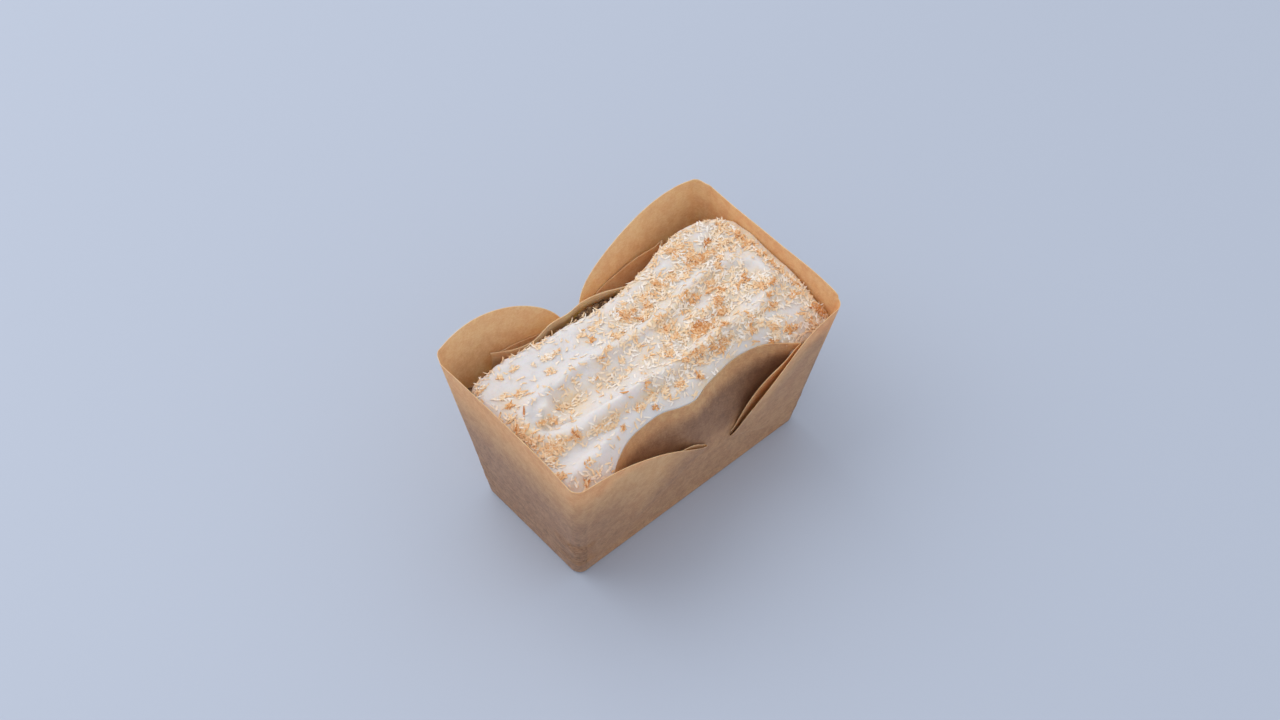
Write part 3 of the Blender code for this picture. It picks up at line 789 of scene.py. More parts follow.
# Noise in layers: height in mm, how far it is drawn out along x, size in mm and seed of each
RAGGED = ((0.5, 1, 2.6, 5), (0.3, 1, 1, 7))
FINE_STREAKS = ((0.14, 7, 1.7, 1), (0.05, 5, 0.8, 2))
SOFT_LUMPS = ((0.26, 1, 5, 3), (0.15, 1, 2.4, 4))
WHIPPED_GRAIN = ((0.07, 1, 1, 6),)


def patch(x, y, size, seed):
    """Soft noise from -1 to 1 at one place."""
    return noise.noise(Vector((x / size, y / size, seed)))


def lumps(x, y, size, seed):
    """The same at every place of an array."""
    return np.reshape([patch(a, b, size, seed) for a, b in zip(np.ravel(x), np.ravel(y))], np.shape(x))


def layered(x, y, layers):
    """Layers of noise added up, in metres."""
    return sum(height * lumps(x / drawn, y, size * MM, seed) for height, drawn, size, seed in layers) * MM


def icing_edge(side, x):
    """Half width of the spread at x."""
    inside = PANEL_EDGE[side](x) - PAPER_GAP
    if side == NEAR:
        return np.minimum(inside, NEAR_LIMIT(x))
    return np.minimum(inside, FAR_OUTLINE(x) + layered(x, 0 * x, RAGGED))


# %% Strokes of the spatula
# Points (x, y) in mm, half widths to the left and to the right of the stroke's way, and height
STROKES = (
    # the outer curl at the left, which turns into the long ridge
    (((-33, 5), (-39, 4.5), (-43.5, 2), (-45.5, -3), (-43.5, -8.5), (-36, -11.4), (-20, -12.1), (0, -12.2),
      (20, -12.4), (33, -13.8)), 1.9, 2.4, 2.1),
    # the rim above the hollow, carried on to the right, and the curl back at the right end
    (((-37, 0.5), (-34, 2.6), (-31, 4.1), (-26, 5), (-21, 5.4), (-14, 4.4), (-4, 3.2), (8, 2.6), (16, 3.2),
      (22, 5.2), (32, 6), (39, 4.2), (43.2, 0), (43.6, -6), (40, -11), (33, -13.8)), 2.6, 1.5, 2),
    # the hollow and the small one at its end
    (((-31, -1.8), (-22, -2.5), (-11, -3.4)), 3.9, 4.2, -2.7),
    (((-40, -4.4), (-38.6, -4.6)), 2.3, 2.3, -2.6),
    (((-35.9, -0.6), (-35.2, -6.4)), 1.1, 1.4, 0.7),
    # the crisp lower rim of both
    (((-42.6, -5.2), (-39.6, -6.9), (-36.5, -7.9), (-30.5, -9.3), (-20.5, -10.8), (-8.5, -11.6)),
     0.6, 1.7, 1.25),
    (((-41.8, -5.1), (-38.8, -6.3), (-33.5, -7.4)), 0.6, 0.5, -1.2),
    # the furrow along the near side and the soft shoulder outside it
    (((-46, -16.2), (-20, -16.3), (4, -16.4), (20, -16.9)), 2.2, 2.6, -1.7),
    (((-44, -20.8), (-10, -20.6), (12, -20.8)), 2.8, 2.8, 0.8),
    # the short ridge inside the right end and the dips round it
    (((17, -3.8), (25, -4.2)), 1.7, 1.7, 1.3),
    (((9, -8.4), (20, -8.6), (29, -7.4)), 2.2, 2.2, -1.4),
    (((18, 0.6), (28, 0.6), (36, -1)), 2.4, 2.4, -1.1),
    # the swelling at the far right and the dip in front of it
    (((30, 18), (38, 19)), 7, 7, 1.8),
    (((4, 8.5), (18, 9.5), (38, 9.6)), 2.6, 2.6, -0.8),
)


def stroke_relief(x, y):
    total = np.zeros_like(x)
    for points, half_left, half_right, height in STROKES:
        nearest = np.full_like(x, np.inf)
        left_of = np.zeros_like(x)
        for start, end in zip(points, points[1:]):
            (ax, ay), (bx, by) = (np.array(point) * MM for point in (start, end))
            along = (x - ax) * (bx - ax) + (y - ay) * (by - ay)
            share = np.clip(along / ((bx - ax) ** 2 + (by - ay) ** 2), 0.0, 1.0)
            away = np.hypot(x - mix(ax, bx, share), y - mix(ay, by, share))
            cross = (bx - ax) * (y - ay) - (by - ay) * (x - ax)
            left_of = np.where(away < nearest, cross, left_of)
            nearest = np.minimum(nearest, away)
        half = np.where(left_of > 0, half_left, half_right) * MM
        total += height * MM * np.exp(-(nearest / half) ** 2)
    return total


# Where the crown lifts and the rim meets the right end, both along x, and where the near right falls
LIFTS, CONTACTS = (0, 40 * MM), mm(30, 47)
FALLS_ALONG, FALLS_ACROSS = mm(28, 46), mm(-8, -22)
NEAR_RIM_RISES = (0.0, -20 * MM)
# How deep the strokes are at the left and right, and where along x that changes
STROKE_DEPTH, STROKE_CHANGES = (0.88, 0.75), mm(-10, 6)
# How far in from the rim the strokes and the fine relief are at their full height
STROKES_FULL, FINE_FULL = (0.0, 0.7), (0.0, 0.3)


def icing_height(x, y, inward):
    """Height of the icing: a soft body with a rim, the strokes on it and the fine relief on those."""
    rim = mix(ICING_RIM + NEAR_RIM * smooth(*NEAR_RIM_RISES, y), RIGHT_CONTACT(y), smooth(*CONTACTS, x))
    crown = ICING_CROWN + RIGHT_LIFT * smooth(*LIFTS, x)
    crown = crown - NEAR_FALL * smooth(*FALLS_ALONG, x) * smooth(*FALLS_ACROSS, y)
    body = mix(rim, np.maximum(crown, rim), np.sqrt(1 - (1 - inward) ** 2))
    strokes = mix(*STROKE_DEPTH, smooth(*STROKE_CHANGES, x)) * stroke_relief(x, y)
    fine = layered(x, y, FINE_STREAKS + SOFT_LUMPS + WHIPPED_GRAIN)
    return body + strokes * smooth(*STROKES_FULL, inward) + fine * smooth(*FINE_FULL, inward)


print(len(STROKES), "strokes")

# %% [markdown]
# ## Finish of the icing
#
# The icing is a warm white that light sinks into a little, so it scatters under the surface. Its pores
# and its grain are too fine for the mesh and are bump. Where dust of coconut sticks to it the white
# turns golden, by a share that is written on the mesh when the icing is spread; the same share also
# paints warm shade into the hollows, the furrow and the icing under the shreds.

# %% Finish of the icing
def white_icing():
    cream = Finish("white_icing")
    spots = cream.places()
    dust = cream.attribute("dust")
    specks = cream.between(cream.cloud(spots, 1.0, 4.0, 0.7), 0.36, 0.64)
    clouds = cream.cloud(spots, 6.0, 3.0)
    grain = cream.cloud(spots, 0.45, 4.0, 0.6)
    pores = cream.between(cream.cloud(spots, 0.8, 2.0), 0.62, 0.72)
    white = cream.blend(clouds, (0.752, 0.735, 0.750), (0.777, 0.757, 0.772))
    # Golden tint: partly coconut dust, partly painted warm shade in hollows and furrows and under the shreds
    dusted_and_shaded = cream.blend(dust * (0.60 + 0.60 * specks), white, (0.855, 0.640, 0.390))
    cream.wear(Base_Color=dusted_and_shaded, Roughness=0.52 + clouds * 0.16,
               Normal=cream.relief(grain, 0.06, cream.relief(1 - pores, 0.05)),
               Subsurface_Weight=0.6, Subsurface_Radius=(1.0, 0.78, 0.6), Subsurface_Scale=0.0026,
               Specular_IOR_Level=0.3)
    return cream.material


# %% [markdown]
# ## Places of the coconut
#
# The coconut comes later, but the icing has to know where it lies, because its finest dust sticks to
# the icing between the shreds, and warm shade is painted there too. It could be scattered evenly, but
# the real one lies in heaps, in a carpet over the right half, and hardly at all on some strokes. So
# its places are tables.

# %% Where the coconut lies
# The places were read off the photo, as x and y in mm on a level plane at the icing's usual height.
# A ray from the camera through such a place finds the spot on the icing.
PHOTO_PLANE = 54.5 * MM
# x, y, half sizes along x and y, number of shreds, how toasted they are
HEAPS = (
    # left half
    (-47, 18, 1.6, 1.2, 16, 0.4), (-39.5, 17.5, 1.2, 0.8, 8, 0.45), (-34.8, 17.5, 1.2, 0.8, 8, 0.4),
    (-23.5, 19.5, 1, 0.8, 7, 0.45), (-24, 14.5, 1.8, 1, 16, 0.25), (-21, 14, 0.8, 0.6, 5, 0.35),
    (-29, 15, 0.8, 0.6, 4, 0.25), (-27, 10, 1.3, 0.9, 12, 0.4), (-42.5, 12, 1.2, 0.9, 9, 0.45),
    (-38.3, 9.5, 1.6, 1.2, 14, 0.45), (-43.8, 8.2, 1, 0.7, 8, 0.75), (-12, 14, 1, 0.8, 8, 0.4),
    (-10.5, 11, 0.9, 0.7, 7, 0.7), (-8, 14, 0.9, 0.7, 7, 0.4), (-5, 14, 0.9, 0.7, 7, 0.4),
    (-3.5, 7, 1.4, 1.4, 20, 0.42), (-13, 4, 0.9, 0.6, 6, 0.45), (-9, 5, 0.9, 0.6, 7, 0.4),
    (-21.5, 6.5, 0.8, 0.5, 4, 0.4), (-28.5, 3.5, 0.8, 0.5, 4, 0.4), (-24.5, 2.3, 0.8, 0.5, 4, 0.4),
    (-12.8, 2, 0.8, 0.6, 5, 0.4), (-9, -1, 0.8, 0.6, 5, 0.4), (-9.5, -5, 0.9, 0.6, 6, 0.45),
    (-13, -5.5, 0.9, 0.6, 6, 0.4), (-40.5, -2.5, 1.1, 0.8, 16, 0.5), (-37.5, -4, 1.1, 0.8, 16, 0.5),
    (-46.4, -4.5, 2.4, 3.6, 50, 0.46), (-43.5, -11.5, 4.6, 2.2, 88, 0.5), (-46.5, 4, 2.4, 4, 22, 0.42),
    (-47, -15.5, 1.6, 3, 18, 0.38), (-36, -12, 1, 1.2, 12, 0.7), (-28, -14.6, 7, 1.2, 40, 0.38),
    (-16, -16.5, 1.3, 1, 22, 0.42), (-11, -16, 1.2, 0.9, 18, 0.42), (-7, -17, 1.1, 0.8, 16, 0.42),
    (-2, -18, 1.3, 1, 20, 0.5), (-26, -16.5, 1.2, 0.8, 14, 0.42), (-24.5, -19, 0.6, 0.5, 4, 0.7),
    (-13, -19.5, 0.6, 0.5, 4, 0.7), (-48, -20, 1.2, 1.2, 14, 0.45), (-39, -21.5, 1, 0.8, 8, 0.42),
    (-44.3, -26.5, 1, 0.7, 6, 0.65), (-43, -25, 6, 2.2, 20, 0.2), (-29.5, -2.5, 5, 3.2, 30, 0.34),
    (-17.5, -3, 5, 3.2, 24, 0.34),
    # right half
    (2.5, 11.5, 1.4, 2.2, 60, 0.5), (5.5, 11, 0.8, 0.8, 16, 0.62), (10.5, 9.5, 1, 0.8, 18, 0.62),
    (5.5, 7, 0.8, 0.8, 14, 0.6), (11.5, 12.5, 1.8, 1, 26, 0.45), (18, 13.8, 1.8, 2.4, 46, 0.45),
    (22.5, 12.5, 1.3, 1.5, 26, 0.48), (9.5, 4, 1.6, 0.8, 20, 0.45), (20.2, 5, 0.9, 0.8, 16, 0.52),
    (20.8, 2.2, 0.9, 0.7, 14, 0.58), (23, 2.6, 0.9, 0.7, 14, 0.58), (29.3, 20.5, 1.2, 2.2, 46, 0.48),
    (32.5, 20, 1, 2, 30, 0.42), (32, 15, 2.2, 1.8, 60, 0.52), (34.5, 12.4, 5, 1.1, 110, 0.55),
    (44, 12.5, 2.6, 2, 40, 0.36), (39.8, 16, 1.2, 0.7, 12, 0.85), (36, 7.2, 0.6, 1.6, 16, 0.48),
    (38.5, 9, 0.7, 1, 14, 0.5), (49, 7.5, 1.4, 1.4, 34, 0.5), (30, 3.6, 1.3, 0.8, 22, 0.48),
    (27.5, 1.7, 1, 0.7, 16, 0.56), (30.5, -0.6, 0.6, 0.6, 12, 0.66), (27, -2.8, 1.2, 1, 26, 0.6),
    (39.2, -1.2, 0.5, 1.1, 12, 0.66), (36.5, -2.2, 2, 0.8, 22, 0.5), (16.8, -6, 1.4, 1.1, 52, 0.72),
    (16.5, -7.4, 3.6, 1.3, 90, 0.58), (25.5, -6.4, 2, 1.2, 40, 0.5), (8.5, -1, 1.5, 0.8, 20, 0.46),
    (9, -4.6, 1.2, 0.8, 16, 0.48), (4.8, -5.5, 0.8, 0.6, 9, 0.5), (3.2, -8, 0.8, 0.6, 12, 0.62),
    (44.3, -8, 1.5, 0.5, 18, 0.58), (40.6, -7, 0.9, 1.6, 24, 0.5), (40, -11, 0.9, 0.6, 14, 0.55),
    (11, -13.2, 2.6, 1.1, 60, 0.48), (14.2, -14.6, 1, 0.8, 20, 0.6), (18.2, -14.6, 1.4, 1.1, 30, 0.56),
    (15.8, -16.6, 1.6, 0.7, 24, 0.55), (7.6, -15.8, 1, 1.2, 22, 0.46), (5, -12.3, 0.8, 0.7, 12, 0.52),
    (4.2, -20, 0.8, 0.9, 12, 0.55), (22.4, -10.6, 1.2, 0.6, 16, 0.6), (27.2, -17, 0.6, 1.6, 18, 0.5),
    (30.2, -13.4, 0.8, 1.4, 18, 0.48), (38, -14.6, 1.6, 0.9, 22, 0.48), (45, -15.5, 1.2, 1, 18, 0.55),
    (33, -20.6, 1.1, 1, 22, 0.48), (34.8, -24.3, 0.7, 1.2, 18, 0.62), (37.2, -24.6, 0.8, 0.7, 12, 0.56),
    (28, -24.4, 1.2, 0.6, 12, 0.66), (42.4, -25.6, 0.9, 0.6, 12, 0.58), (46.8, -24.5, 0.9, 2.2, 50, 0.68),
    (-12, 20.2, 3, 0.7, 34, 0.42), (8.5, 19.4, 1.2, 0.8, 14, 0.4), (47.6, 17, 1, 3, 26, 0.44),
    (48.9, 11.5, 0.8, 3, 26, 0.5), (49.2, 2, 0.8, 3.4, 30, 0.48), (49, -5.5, 0.8, 3.4, 26, 0.46),
    (48.5, -13, 0.9, 3.4, 20, 0.48),
)
# Where the icing itself is tinted golden, by stains of fine dust, by painted warm shade in the furrow
# and the hollows, and by painted warm shade and reflection of the paper at the near left corner: x, y,
# half sizes along x and y, strength
STAINS_AND_SHADE = (
    (-46.5, -3, 3.4, 8, 1), (-42.5, -11.5, 6, 3, 1), (-28, -13.8, 12, 2.2, 0.75),
    (-9, -14.8, 9, 2.4, 0.75), (-29.5, -2.5, 7, 5, 0.9), (-17, -3, 8, 4.6, 0.62),
    (-39, -3.5, 3, 2.6, 0.95), (-43, 9, 4.5, 3.8, 0.58), (-39, 9, 2.5, 3, 0.4), (-12, 12, 4, 3, 0.45),
    (-4, 8, 4, 3, 0.5), (-14, -6, 4, 3, 0.42), (-14, 3, 4, 2, 0.4), (-26, 10, 2.4, 1.6, 0.35),
    (-23.5, 14.5, 2.2, 1.6, 0.3), (-44, -25.5, 6.5, 3, 0.5), (14, -20.5, 12, 2.4, 0.28),
    (31, -19, 8, 3.5, 0.3),
)
# Single shreds that catch the eye: x, y, heading in degrees, length in mm, toast, tilt in degrees
SINGLES = (
    (-42, 3.7, 50, 3.6, 0.95, 3), (-36, -11.8, 98, 3, 0.95, 3), (-16, -10, -50, 2.8, 0.8, 3),
    (-24.5, -19, 60, 2, 0.85, 3), (-13, -19.5, 20, 2, 0.8, 3), (22.3, -10.8, -20, 2.6, 0.8, 3),
    (39.9, 16, 25, 2.9, 1, 3), (-47, 1, 20, 2.2, 0.8, 3), (-44.3, -26.5, 30, 2.2, 0.8, 3),
    (-26, 21.6, 80, 2.4, 0.1, 55), (-18.7, 20, 95, 2, 0.1, 55), (-36, 22.2, 30, 2.2, 0.4, 20),
    (-37, -27, 10, 2.6, 0.1, 10), (9.5, 20, 62, 3.4, 0.35, 25), (18, 21.6, 60, 2, 0.1, 40),
    (43.8, -8.2, 15, 3, 0.8, 3), (39.2, -1.2, 75, 2.4, 0.8, 3), (30.5, -0.5, 40, 1.6, 0.85, 3),
    (27, -17, 62, 3.6, 0.62, 4), (40.4, -7.6, 58, 3.8, 0.62, 4), (9, -0.9, 30, 3.4, 0.55, 4),
    (36.2, 7, 105, 3, 0.55, 4), (34.7, -24.6, 68, 3, 0.75, 4), (4.2, -20, 115, 2.4, 0.65, 4),
)
# The carpet: how many shreds are tried, how few are kept at the left, and between which places along
# x it grows full. A bare spot, given by x, y and half sizes, keeps few of them.
CARPET, THIN, CARPET_GROWS = 8500, 0.13, (-16, 8)
CARPET_X, CARPET_Y = (-49.5, 50), (-30, 27)
BARE = (
    (26, 8.8, 7, 1), (8, 5.4, 8, 0.8), (22, -1.2, 4, 1.1), (45.5, -1, 2, 4.5), (15, -10.3, 5, 1),
    (35, -9.8, 5, 1.6), (3, 16.5, 7, 2), (2, 1.5, 4, 1.6), (47, 13, 2, 2.5), (41, 20, 4, 2),
    (36, 17.5, 2, 2.5), (2, -20, 6, 1.8), (14, -19, 6, 1.4), (40, 4.5, 4, 1.4), (2, -3.5, 3, 2),
    (24, 21, 3, 1.5), (20, -20, 5, 2), (35, -17, 3, 1.4), (10, 17, 9, 1.5), (24, 17.5, 4, 2),
    (35, -11.5, 5, 1.4), (11, -19.5, 8, 1.6), (40, -20, 5, 3), (27, -20, 4, 2.2), (44, 1.5, 2.6, 3.5),
    (38, 7, 3, 1.6), (21, 7.5, 4, 1.2),
)
BARE_SHARE = 0.86
# How loosely the shreds of a heap lie, how fast it falls off and how high it is piled. A heap on the
# left has more shreds than the table says, and they are flatter and paler.
HEAP_LOOSE, HEAP_FALL, HEAP_PILE = 0.60, 0.5, 0.8
LEFT_MORE, LEFT_PALER, LEFT_ENDS = 1.35, 0.84, (-6, 2)
# How high the carpet is piled, how toasted it is, and how much that varies from patch to patch
CARPET_PILE, CARPET_TOAST, TOAST_VARIES = 0.22, 0.20, 0.38
# Size in mm and seed of the noise for the carpet's edge, its patches and its toasting, how far the
# edge wanders, and how much of the carpet is kept in a plain place and more or less in a patch
EDGE_NOISE, PATCH_NOISE, TOAST_NOISE = (6, 4.5), (3.5, 2.5), (2.4, 8.5)
EDGE_WANDERS, KEPT, KEPT_VARIES = 5, 0.75, 0.6


def mound(spot, x, y):
    """1 in the middle of a spot, fading to 0 beyond its half sizes."""
    middle_x, middle_y, wide, deep = spot[:4]
    return bump(middle_x, wide, x) * bump(middle_y, deep, y)


def bare_share(x, y):
    return np.maximum.reduce([mound(spot, x, y) for spot in BARE])


def coconut_spots(dice):
    """Places on the photo's plane, pile heights and toasting of all shreds."""
    spots = []
    for x, y, wide, deep, count, toast in HEAPS:
        at_right = smooth(*LEFT_ENDS, x)
        paler = mix(LEFT_PALER, 1.0, at_right)
        for _ in range(round(count * mix(LEFT_MORE, 1.0, at_right))):
            across, along = dice.gauss(0, HEAP_LOOSE), dice.gauss(0, HEAP_LOOSE)
            heap = math.exp(-(across ** 2 + along ** 2) / HEAP_FALL) * dice.uniform(0.0, HEAP_PILE)
            spots.append((x + across * wide, y + along * deep, heap * paler, toast * paler))
    for _ in range(CARPET):
        x, y, chance = dice.uniform(*CARPET_X), dice.uniform(*CARPET_Y), dice.random()
        kept = mix(THIN, 1.0, smooth(*CARPET_GROWS, x + EDGE_WANDERS * patch(x, y, *EDGE_NOISE)))
        kept *= (1 - BARE_SHARE * bare_share(x, y)) * (KEPT + KEPT_VARIES * patch(x, y, *PATCH_NOISE))
        if chance < kept:
            toast = CARPET_TOAST + TOAST_VARIES * patch(x, y, *TOAST_NOISE)
            spots.append((x, y, dice.uniform(0.0, CARPET_PILE), toast))
    return spots


print(len(HEAPS), "heaps,", len(STAINS_AND_SHADE), "stains,", len(BARE), "bare spots")

# %% Dust of the coconut and painted warm shade on the icing
# The golden spots and heaps were read on the photo's plane. The line of sight through a point of the
# icing meets that plane a little further on, by the point's height over it times the slope of the
# sight. The slope is that of one place, 12 mm left of the cake's middle.
DUST_MIDDLE = -12 * MM
CAMERA_RISE = CAMERA_POINT.z - PHOTO_PLANE
SIGHT_X, SIGHT_Y = (CAMERA_POINT.x - DUST_MIDDLE) / CAMERA_RISE, CAMERA_POINT.y / CAMERA_RISE
# Dust of the carpet, with painted warm shade between its shreds, from thin to full, in a plain place
# and more or less in a patch, how little of it bare spots have, the most there can be, and how much
# dust and painted shade a heap adds under it and how far round it
CARPET_DUST_AND_SHADE, DUST_AND_SHADE, DUST_AND_SHADE_VARIES, BARE_OF_DUST_AND_SHADE, MOST_DUST_AND_SHADE = (0.16, 1.0), 0.62, 0.5, 0.7, 0.95
HEAP_DUST_AND_SHADE, HEAP_REACH = 0.06, 1.3


def dust_and_shade_at(x, y, z):
    """How much coconut dust lies on the icing, and how much warm shade is painted with it, from 0 to 1."""
    seen_x = (x - (z - PHOTO_PLANE) * SIGHT_X) / MM
    seen_y = (y - (z - PHOTO_PLANE) * SIGHT_Y) / MM
    dust = mix(*CARPET_DUST_AND_SHADE, smooth(*CARPET_GROWS, seen_x)) * (1 - BARE_OF_DUST_AND_SHADE * bare_share(seen_x, seen_y))
    dust *= DUST_AND_SHADE + DUST_AND_SHADE_VARIES * lumps(seen_x, seen_y, *PATCH_NOISE)
    for tinted_spot in STAINS_AND_SHADE:
        dust = np.maximum(dust, tinted_spot[-1] * mound(tinted_spot, seen_x, seen_y))
    for middle_x, middle_y, wide, deep, count, toast in HEAPS:
        spot = (middle_x, middle_y, HEAP_REACH * wide, HEAP_REACH * deep)
        dust = dust + HEAP_DUST_AND_SHADE * count / (wide * deep) * toast * mound(spot, seen_x, seen_y)
    return np.clip(dust, 0.0, MOST_DUST_AND_SHADE)


# %% Spread the icing
ICING_COLUMNS, ICING_ROWS = 380, 200
# Over this height the icing leans out with the case at its right end, between these places along x
LEANS_OVER, LEANS = 50 * MM, mm(40, 50)
SKIRT_ROUND = 8


def icing_spread():
    bm = bmesh.new()
    bmesh.ops.create_grid(bm, x_segments=ICING_COLUMNS, y_segments=ICING_ROWS, size=1.0)
    places = np.array([vert.co[:2] for vert in bm.verts])
    x = mix(ICING_LEFT, ICING_RIGHT, crowded_ends((places[:, 0] + 1) / 2))
    near, far = -icing_edge(NEAR, x), icing_edge(FAR, x)
    y = mix(near, far, crowded_ends((places[:, 1] + 1) / 2))
    sides = ((y - near, "near"), (far - y, "far"), (x - ICING_LEFT, "left"), (ICING_RIGHT - x, "right"))
    shares = {name: np.clip(away / SHOULDERS[name], 0.0, 1.0) for away, name in sides}
    gentle = 1 - (1 - shares["near"]) ** NEAR_SLOPE
    shares["near"] = 1 - np.sqrt(1 - gentle ** 2)
    inward = np.minimum.reduce(list(shares.values()))
    z = icing_height(x, y, inward)
    x = x + WALL_SLOPE * np.maximum(z - LEANS_OVER, 0.0) * smooth(*LEANS, x)
    dust_and_shade_layer = bm.verts.layers.float.new("dust")
    for vert, place, dust in zip(bm.verts, np.stack((x, y, z), axis=1), dust_and_shade_at(x, y, z)):
        vert.co = place
        vert[dust_and_shade_layer] = dust
    rim = [edge for edge in bm.edges if edge.is_boundary]
    for vert in new_verts(bmesh.ops.extrude_edge_only(bm, edges=rim)["geom"]):
        drawn_in = WALL_SLOPE * (vert.co.z - ICING_FOOT) * (abs(vert.co.x) / ICING_RIGHT) ** SKIRT_ROUND
        vert.co.x -= math.copysign(drawn_in, vert.co.x)
        vert.co.z = ICING_FOOT
    close_up(bm)
    spread = piece_from(bm, "icing_spread", white_icing())
    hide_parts("icing")
    print("icing top at", round(float(z.max()) / MM, 2), "mm")
    return spread


icing = icing_spread()

# %% [markdown]
# ## Sponge
#
# The loaf shows only as a strip of brown crumb at the far side, where the icing doesn't reach the
# paper. It starts as a fine grid for its top, whose rim is extruded down level by level along the
# inside of the case, and noise then pushes its upper part in and out, as a torn crumb is. A few
# loose crumbs lie in the gap: small balls pushed out of round by the same noise.

# %% Finish of the sponge
def sponge_crumb():
    crumb = Finish("sponge_crumb")
    spots = crumb.places()
    pore_shade_mask = crumb.between(crumb.cloud(spots, 1.1, 3.0, 0.6), 0.42, 0.6)
    tint = crumb.cloud(spots, 2.6, 2.0)
    baked = crumb.blend(tint, (0.27, 0.135, 0.060), (0.54, 0.34, 0.185))
    # The pores of the crumb are painted dark, as painted shade in its holes
    crumb.wear(Base_Color=crumb.blend(pore_shade_mask, (0.13, 0.062, 0.030), baked), Roughness=0.9,
               Normal=crumb.relief(pore_shade_mask, 0.5))
    return crumb.material


crumb_finish = sponge_crumb()

# %% Bake the loaf
SPONGE_FOOT, SPONGE_TOP = mm(1.0, 46.0)
SPONGE_CORNER, SPONGE_GAP = mm(5.0, 0.95)
SPONGE_COLUMNS, SPONGE_ROWS, SPONGE_LEVELS, LEVELS_CROWDED = 150, 70, 26, 1.3
# How far the loaf's top and foot are rounded in, and over what height
TOP_IN, TOP_OVER, FOOT_IN, FOOT_OVER = mm(1.4, 3, 0.8, 2)
# The crumb is torn from a height up, and stands up in the gap, given by its length and its place in y
TORN, TORN_SIZE, TORN_PUSH, TORN_RISE = mm(38, 43), 1.7 * MM, 0.5 * MM, 1.5
GAP_LENGTH, GAP_ACROSS = 14 * MM, mm(18, 22)


def sponge_place(across, along, height, inset):
    """A point of the loaf at a height: across and along go from -1 to 1 over its length and width."""
    reach = half_length(height) - SPONGE_GAP - inset
    x = across * reach
    lean = max(panel_lean(FAR if along > 0 else NEAR, x, height), 0.0)
    beyond = max(abs(x) - (reach - SPONGE_CORNER), 0.0) / SPONGE_CORNER
    edge = half_width(height) - lean - SPONGE_GAP - inset
    edge -= SPONGE_CORNER * (1 - math.sqrt(max(1 - beyond ** 2, 0.0)))
    return Vector((x, along * edge, height))


def crumble(spot, size):
    """A push in a random direction that changes over a distance."""
    shifts = ((0, 0, 0), (9, 0, 0), (0, 9, 0))
    return Vector([noise.noise(spot / size + Vector(shift)) for shift in shifts])


def torn(place, height):
    """Moves a point of the crumb as tearing and crumbling do, most where the gap shows it."""
    at_gap = bump(0.0, GAP_LENGTH, place.x) * smooth(*GAP_ACROSS, place.y)
    push = crumble(place, TORN_SIZE)
    stand = Vector((0, 0, at_gap * (TORN_RISE + push.z) * MM))
    return place + (push * TORN_PUSH + stand) * smooth(*TORN, height)


def sponge_loaf():
    bm = bmesh.new()
    bmesh.ops.create_grid(bm, x_segments=SPONGE_COLUMNS, y_segments=SPONGE_ROWS, size=1.0)
    shares = {vert: (vert.co.x, vert.co.y) for vert in bm.verts}
    levels = {vert: SPONGE_TOP for vert in bm.verts}
    rim = [edge for edge in bm.edges if edge.is_boundary]
    for level in range(1, SPONGE_LEVELS + 1):
        height = mix(SPONGE_TOP, SPONGE_FOOT, (level / SPONGE_LEVELS) ** LEVELS_CROWDED)
        above = {tuple(vert.co): shares[vert] for edge in rim for vert in edge.verts}
        skirt = bmesh.ops.extrude_edge_only(bm, edges=rim)["geom"]
        for vert in new_verts(skirt):
            shares[vert] = above[tuple(vert.co)]
            levels[vert] = height
        rim = [item for item in skirt if isinstance(item, bmesh.types.BMEdge) and item.is_boundary]
    for vert, (across, along) in shares.items():
        height = levels[vert]
        inset = TOP_IN * smooth(SPONGE_TOP - TOP_OVER, SPONGE_TOP, height)
        inset += FOOT_IN * smooth(SPONGE_FOOT + FOOT_OVER, SPONGE_FOOT, height)
        vert.co = torn(sponge_place(across, along, height, inset), height)
    close_up(bm)
    loaf = piece_from(bm, "sponge_loaf", crumb_finish)
    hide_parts("sponge")
    return loaf


loaf = sponge_loaf()

# %% Loose crumbs in the gap
# x, y, z and size in mm
CRUMBS = (
    (-3.2, 22.6, 48.6, 1.5), (-4.6, 22.4, 48.2, 1), (1.6, 22.8, 48, 1), (9.5, 21.8, 48, 0.9),
    (-12.5, 23.2, 48.2, 0.9), (-8, 22.4, 47.8, 0.8), (5, 22.6, 47.8, 0.8),
)
CRUMB_BUMPS, CRUMB_ROUGH = 0.9 * MM, 0.55


def loose_crumbs():
    bm = bmesh.new()
    for x, y, z, size in CRUMBS:
        middle = Vector((x, y, z)) * MM
        for vert in bmesh.ops.create_icosphere(bm, subdivisions=3, radius=size * MM)["verts"]:
            push = crumble(middle + vert.co, CRUMB_BUMPS)
            vert.co = middle + vert.co + push * CRUMB_ROUGH * size * MM
    return piece_from(bm, "cake_crumbs", crumb_finish)


loose_crumbs()

# %% [markdown]
# ## Toasted coconut
#
# Fine shreds of coconut, cream to golden brown, lie on the icing: a carpet of them over the right
# half, a few heaps and single shreds over the left. Each is a small curved sliver. One bar is doubled
# again and again until there are enough, each copy keeps its own number, and numpy then bends, turns
# and places them all at once. How dark each was toasted is an attribute, so one finish serves all.

# %% Finish of the coconut
def toasted_coconut():
    flake = Finish("toasted_coconut")
    toast = flake.attribute("toast")
    grain = flake.cloud(flake.places(), 0.5, 3.0)
    colour = flake.add("ValToRGB", {"stops": ((0.0, (0.96, 0.90, 0.84)), (0.35, (0.95, 0.725, 0.475)),
                                              (0.65, (0.82, 0.430, 0.175)), (1.0, (0.52, 0.190, 0.06)))},
                       {"Fac": toast + (grain - 0.5) * 0.30})
    flake.wear(Base_Color=colour, Roughness=0.55, Normal=flake.relief(grain, 0.04),
               Specular_IOR_Level=0.25)
    return flake.material


# %% Shapes of a shred
SHRED_CUTS = 2
# How much a shred thins towards its ends, and how steeply
TAPER, TAPER_POWER = 0.55, 2.5
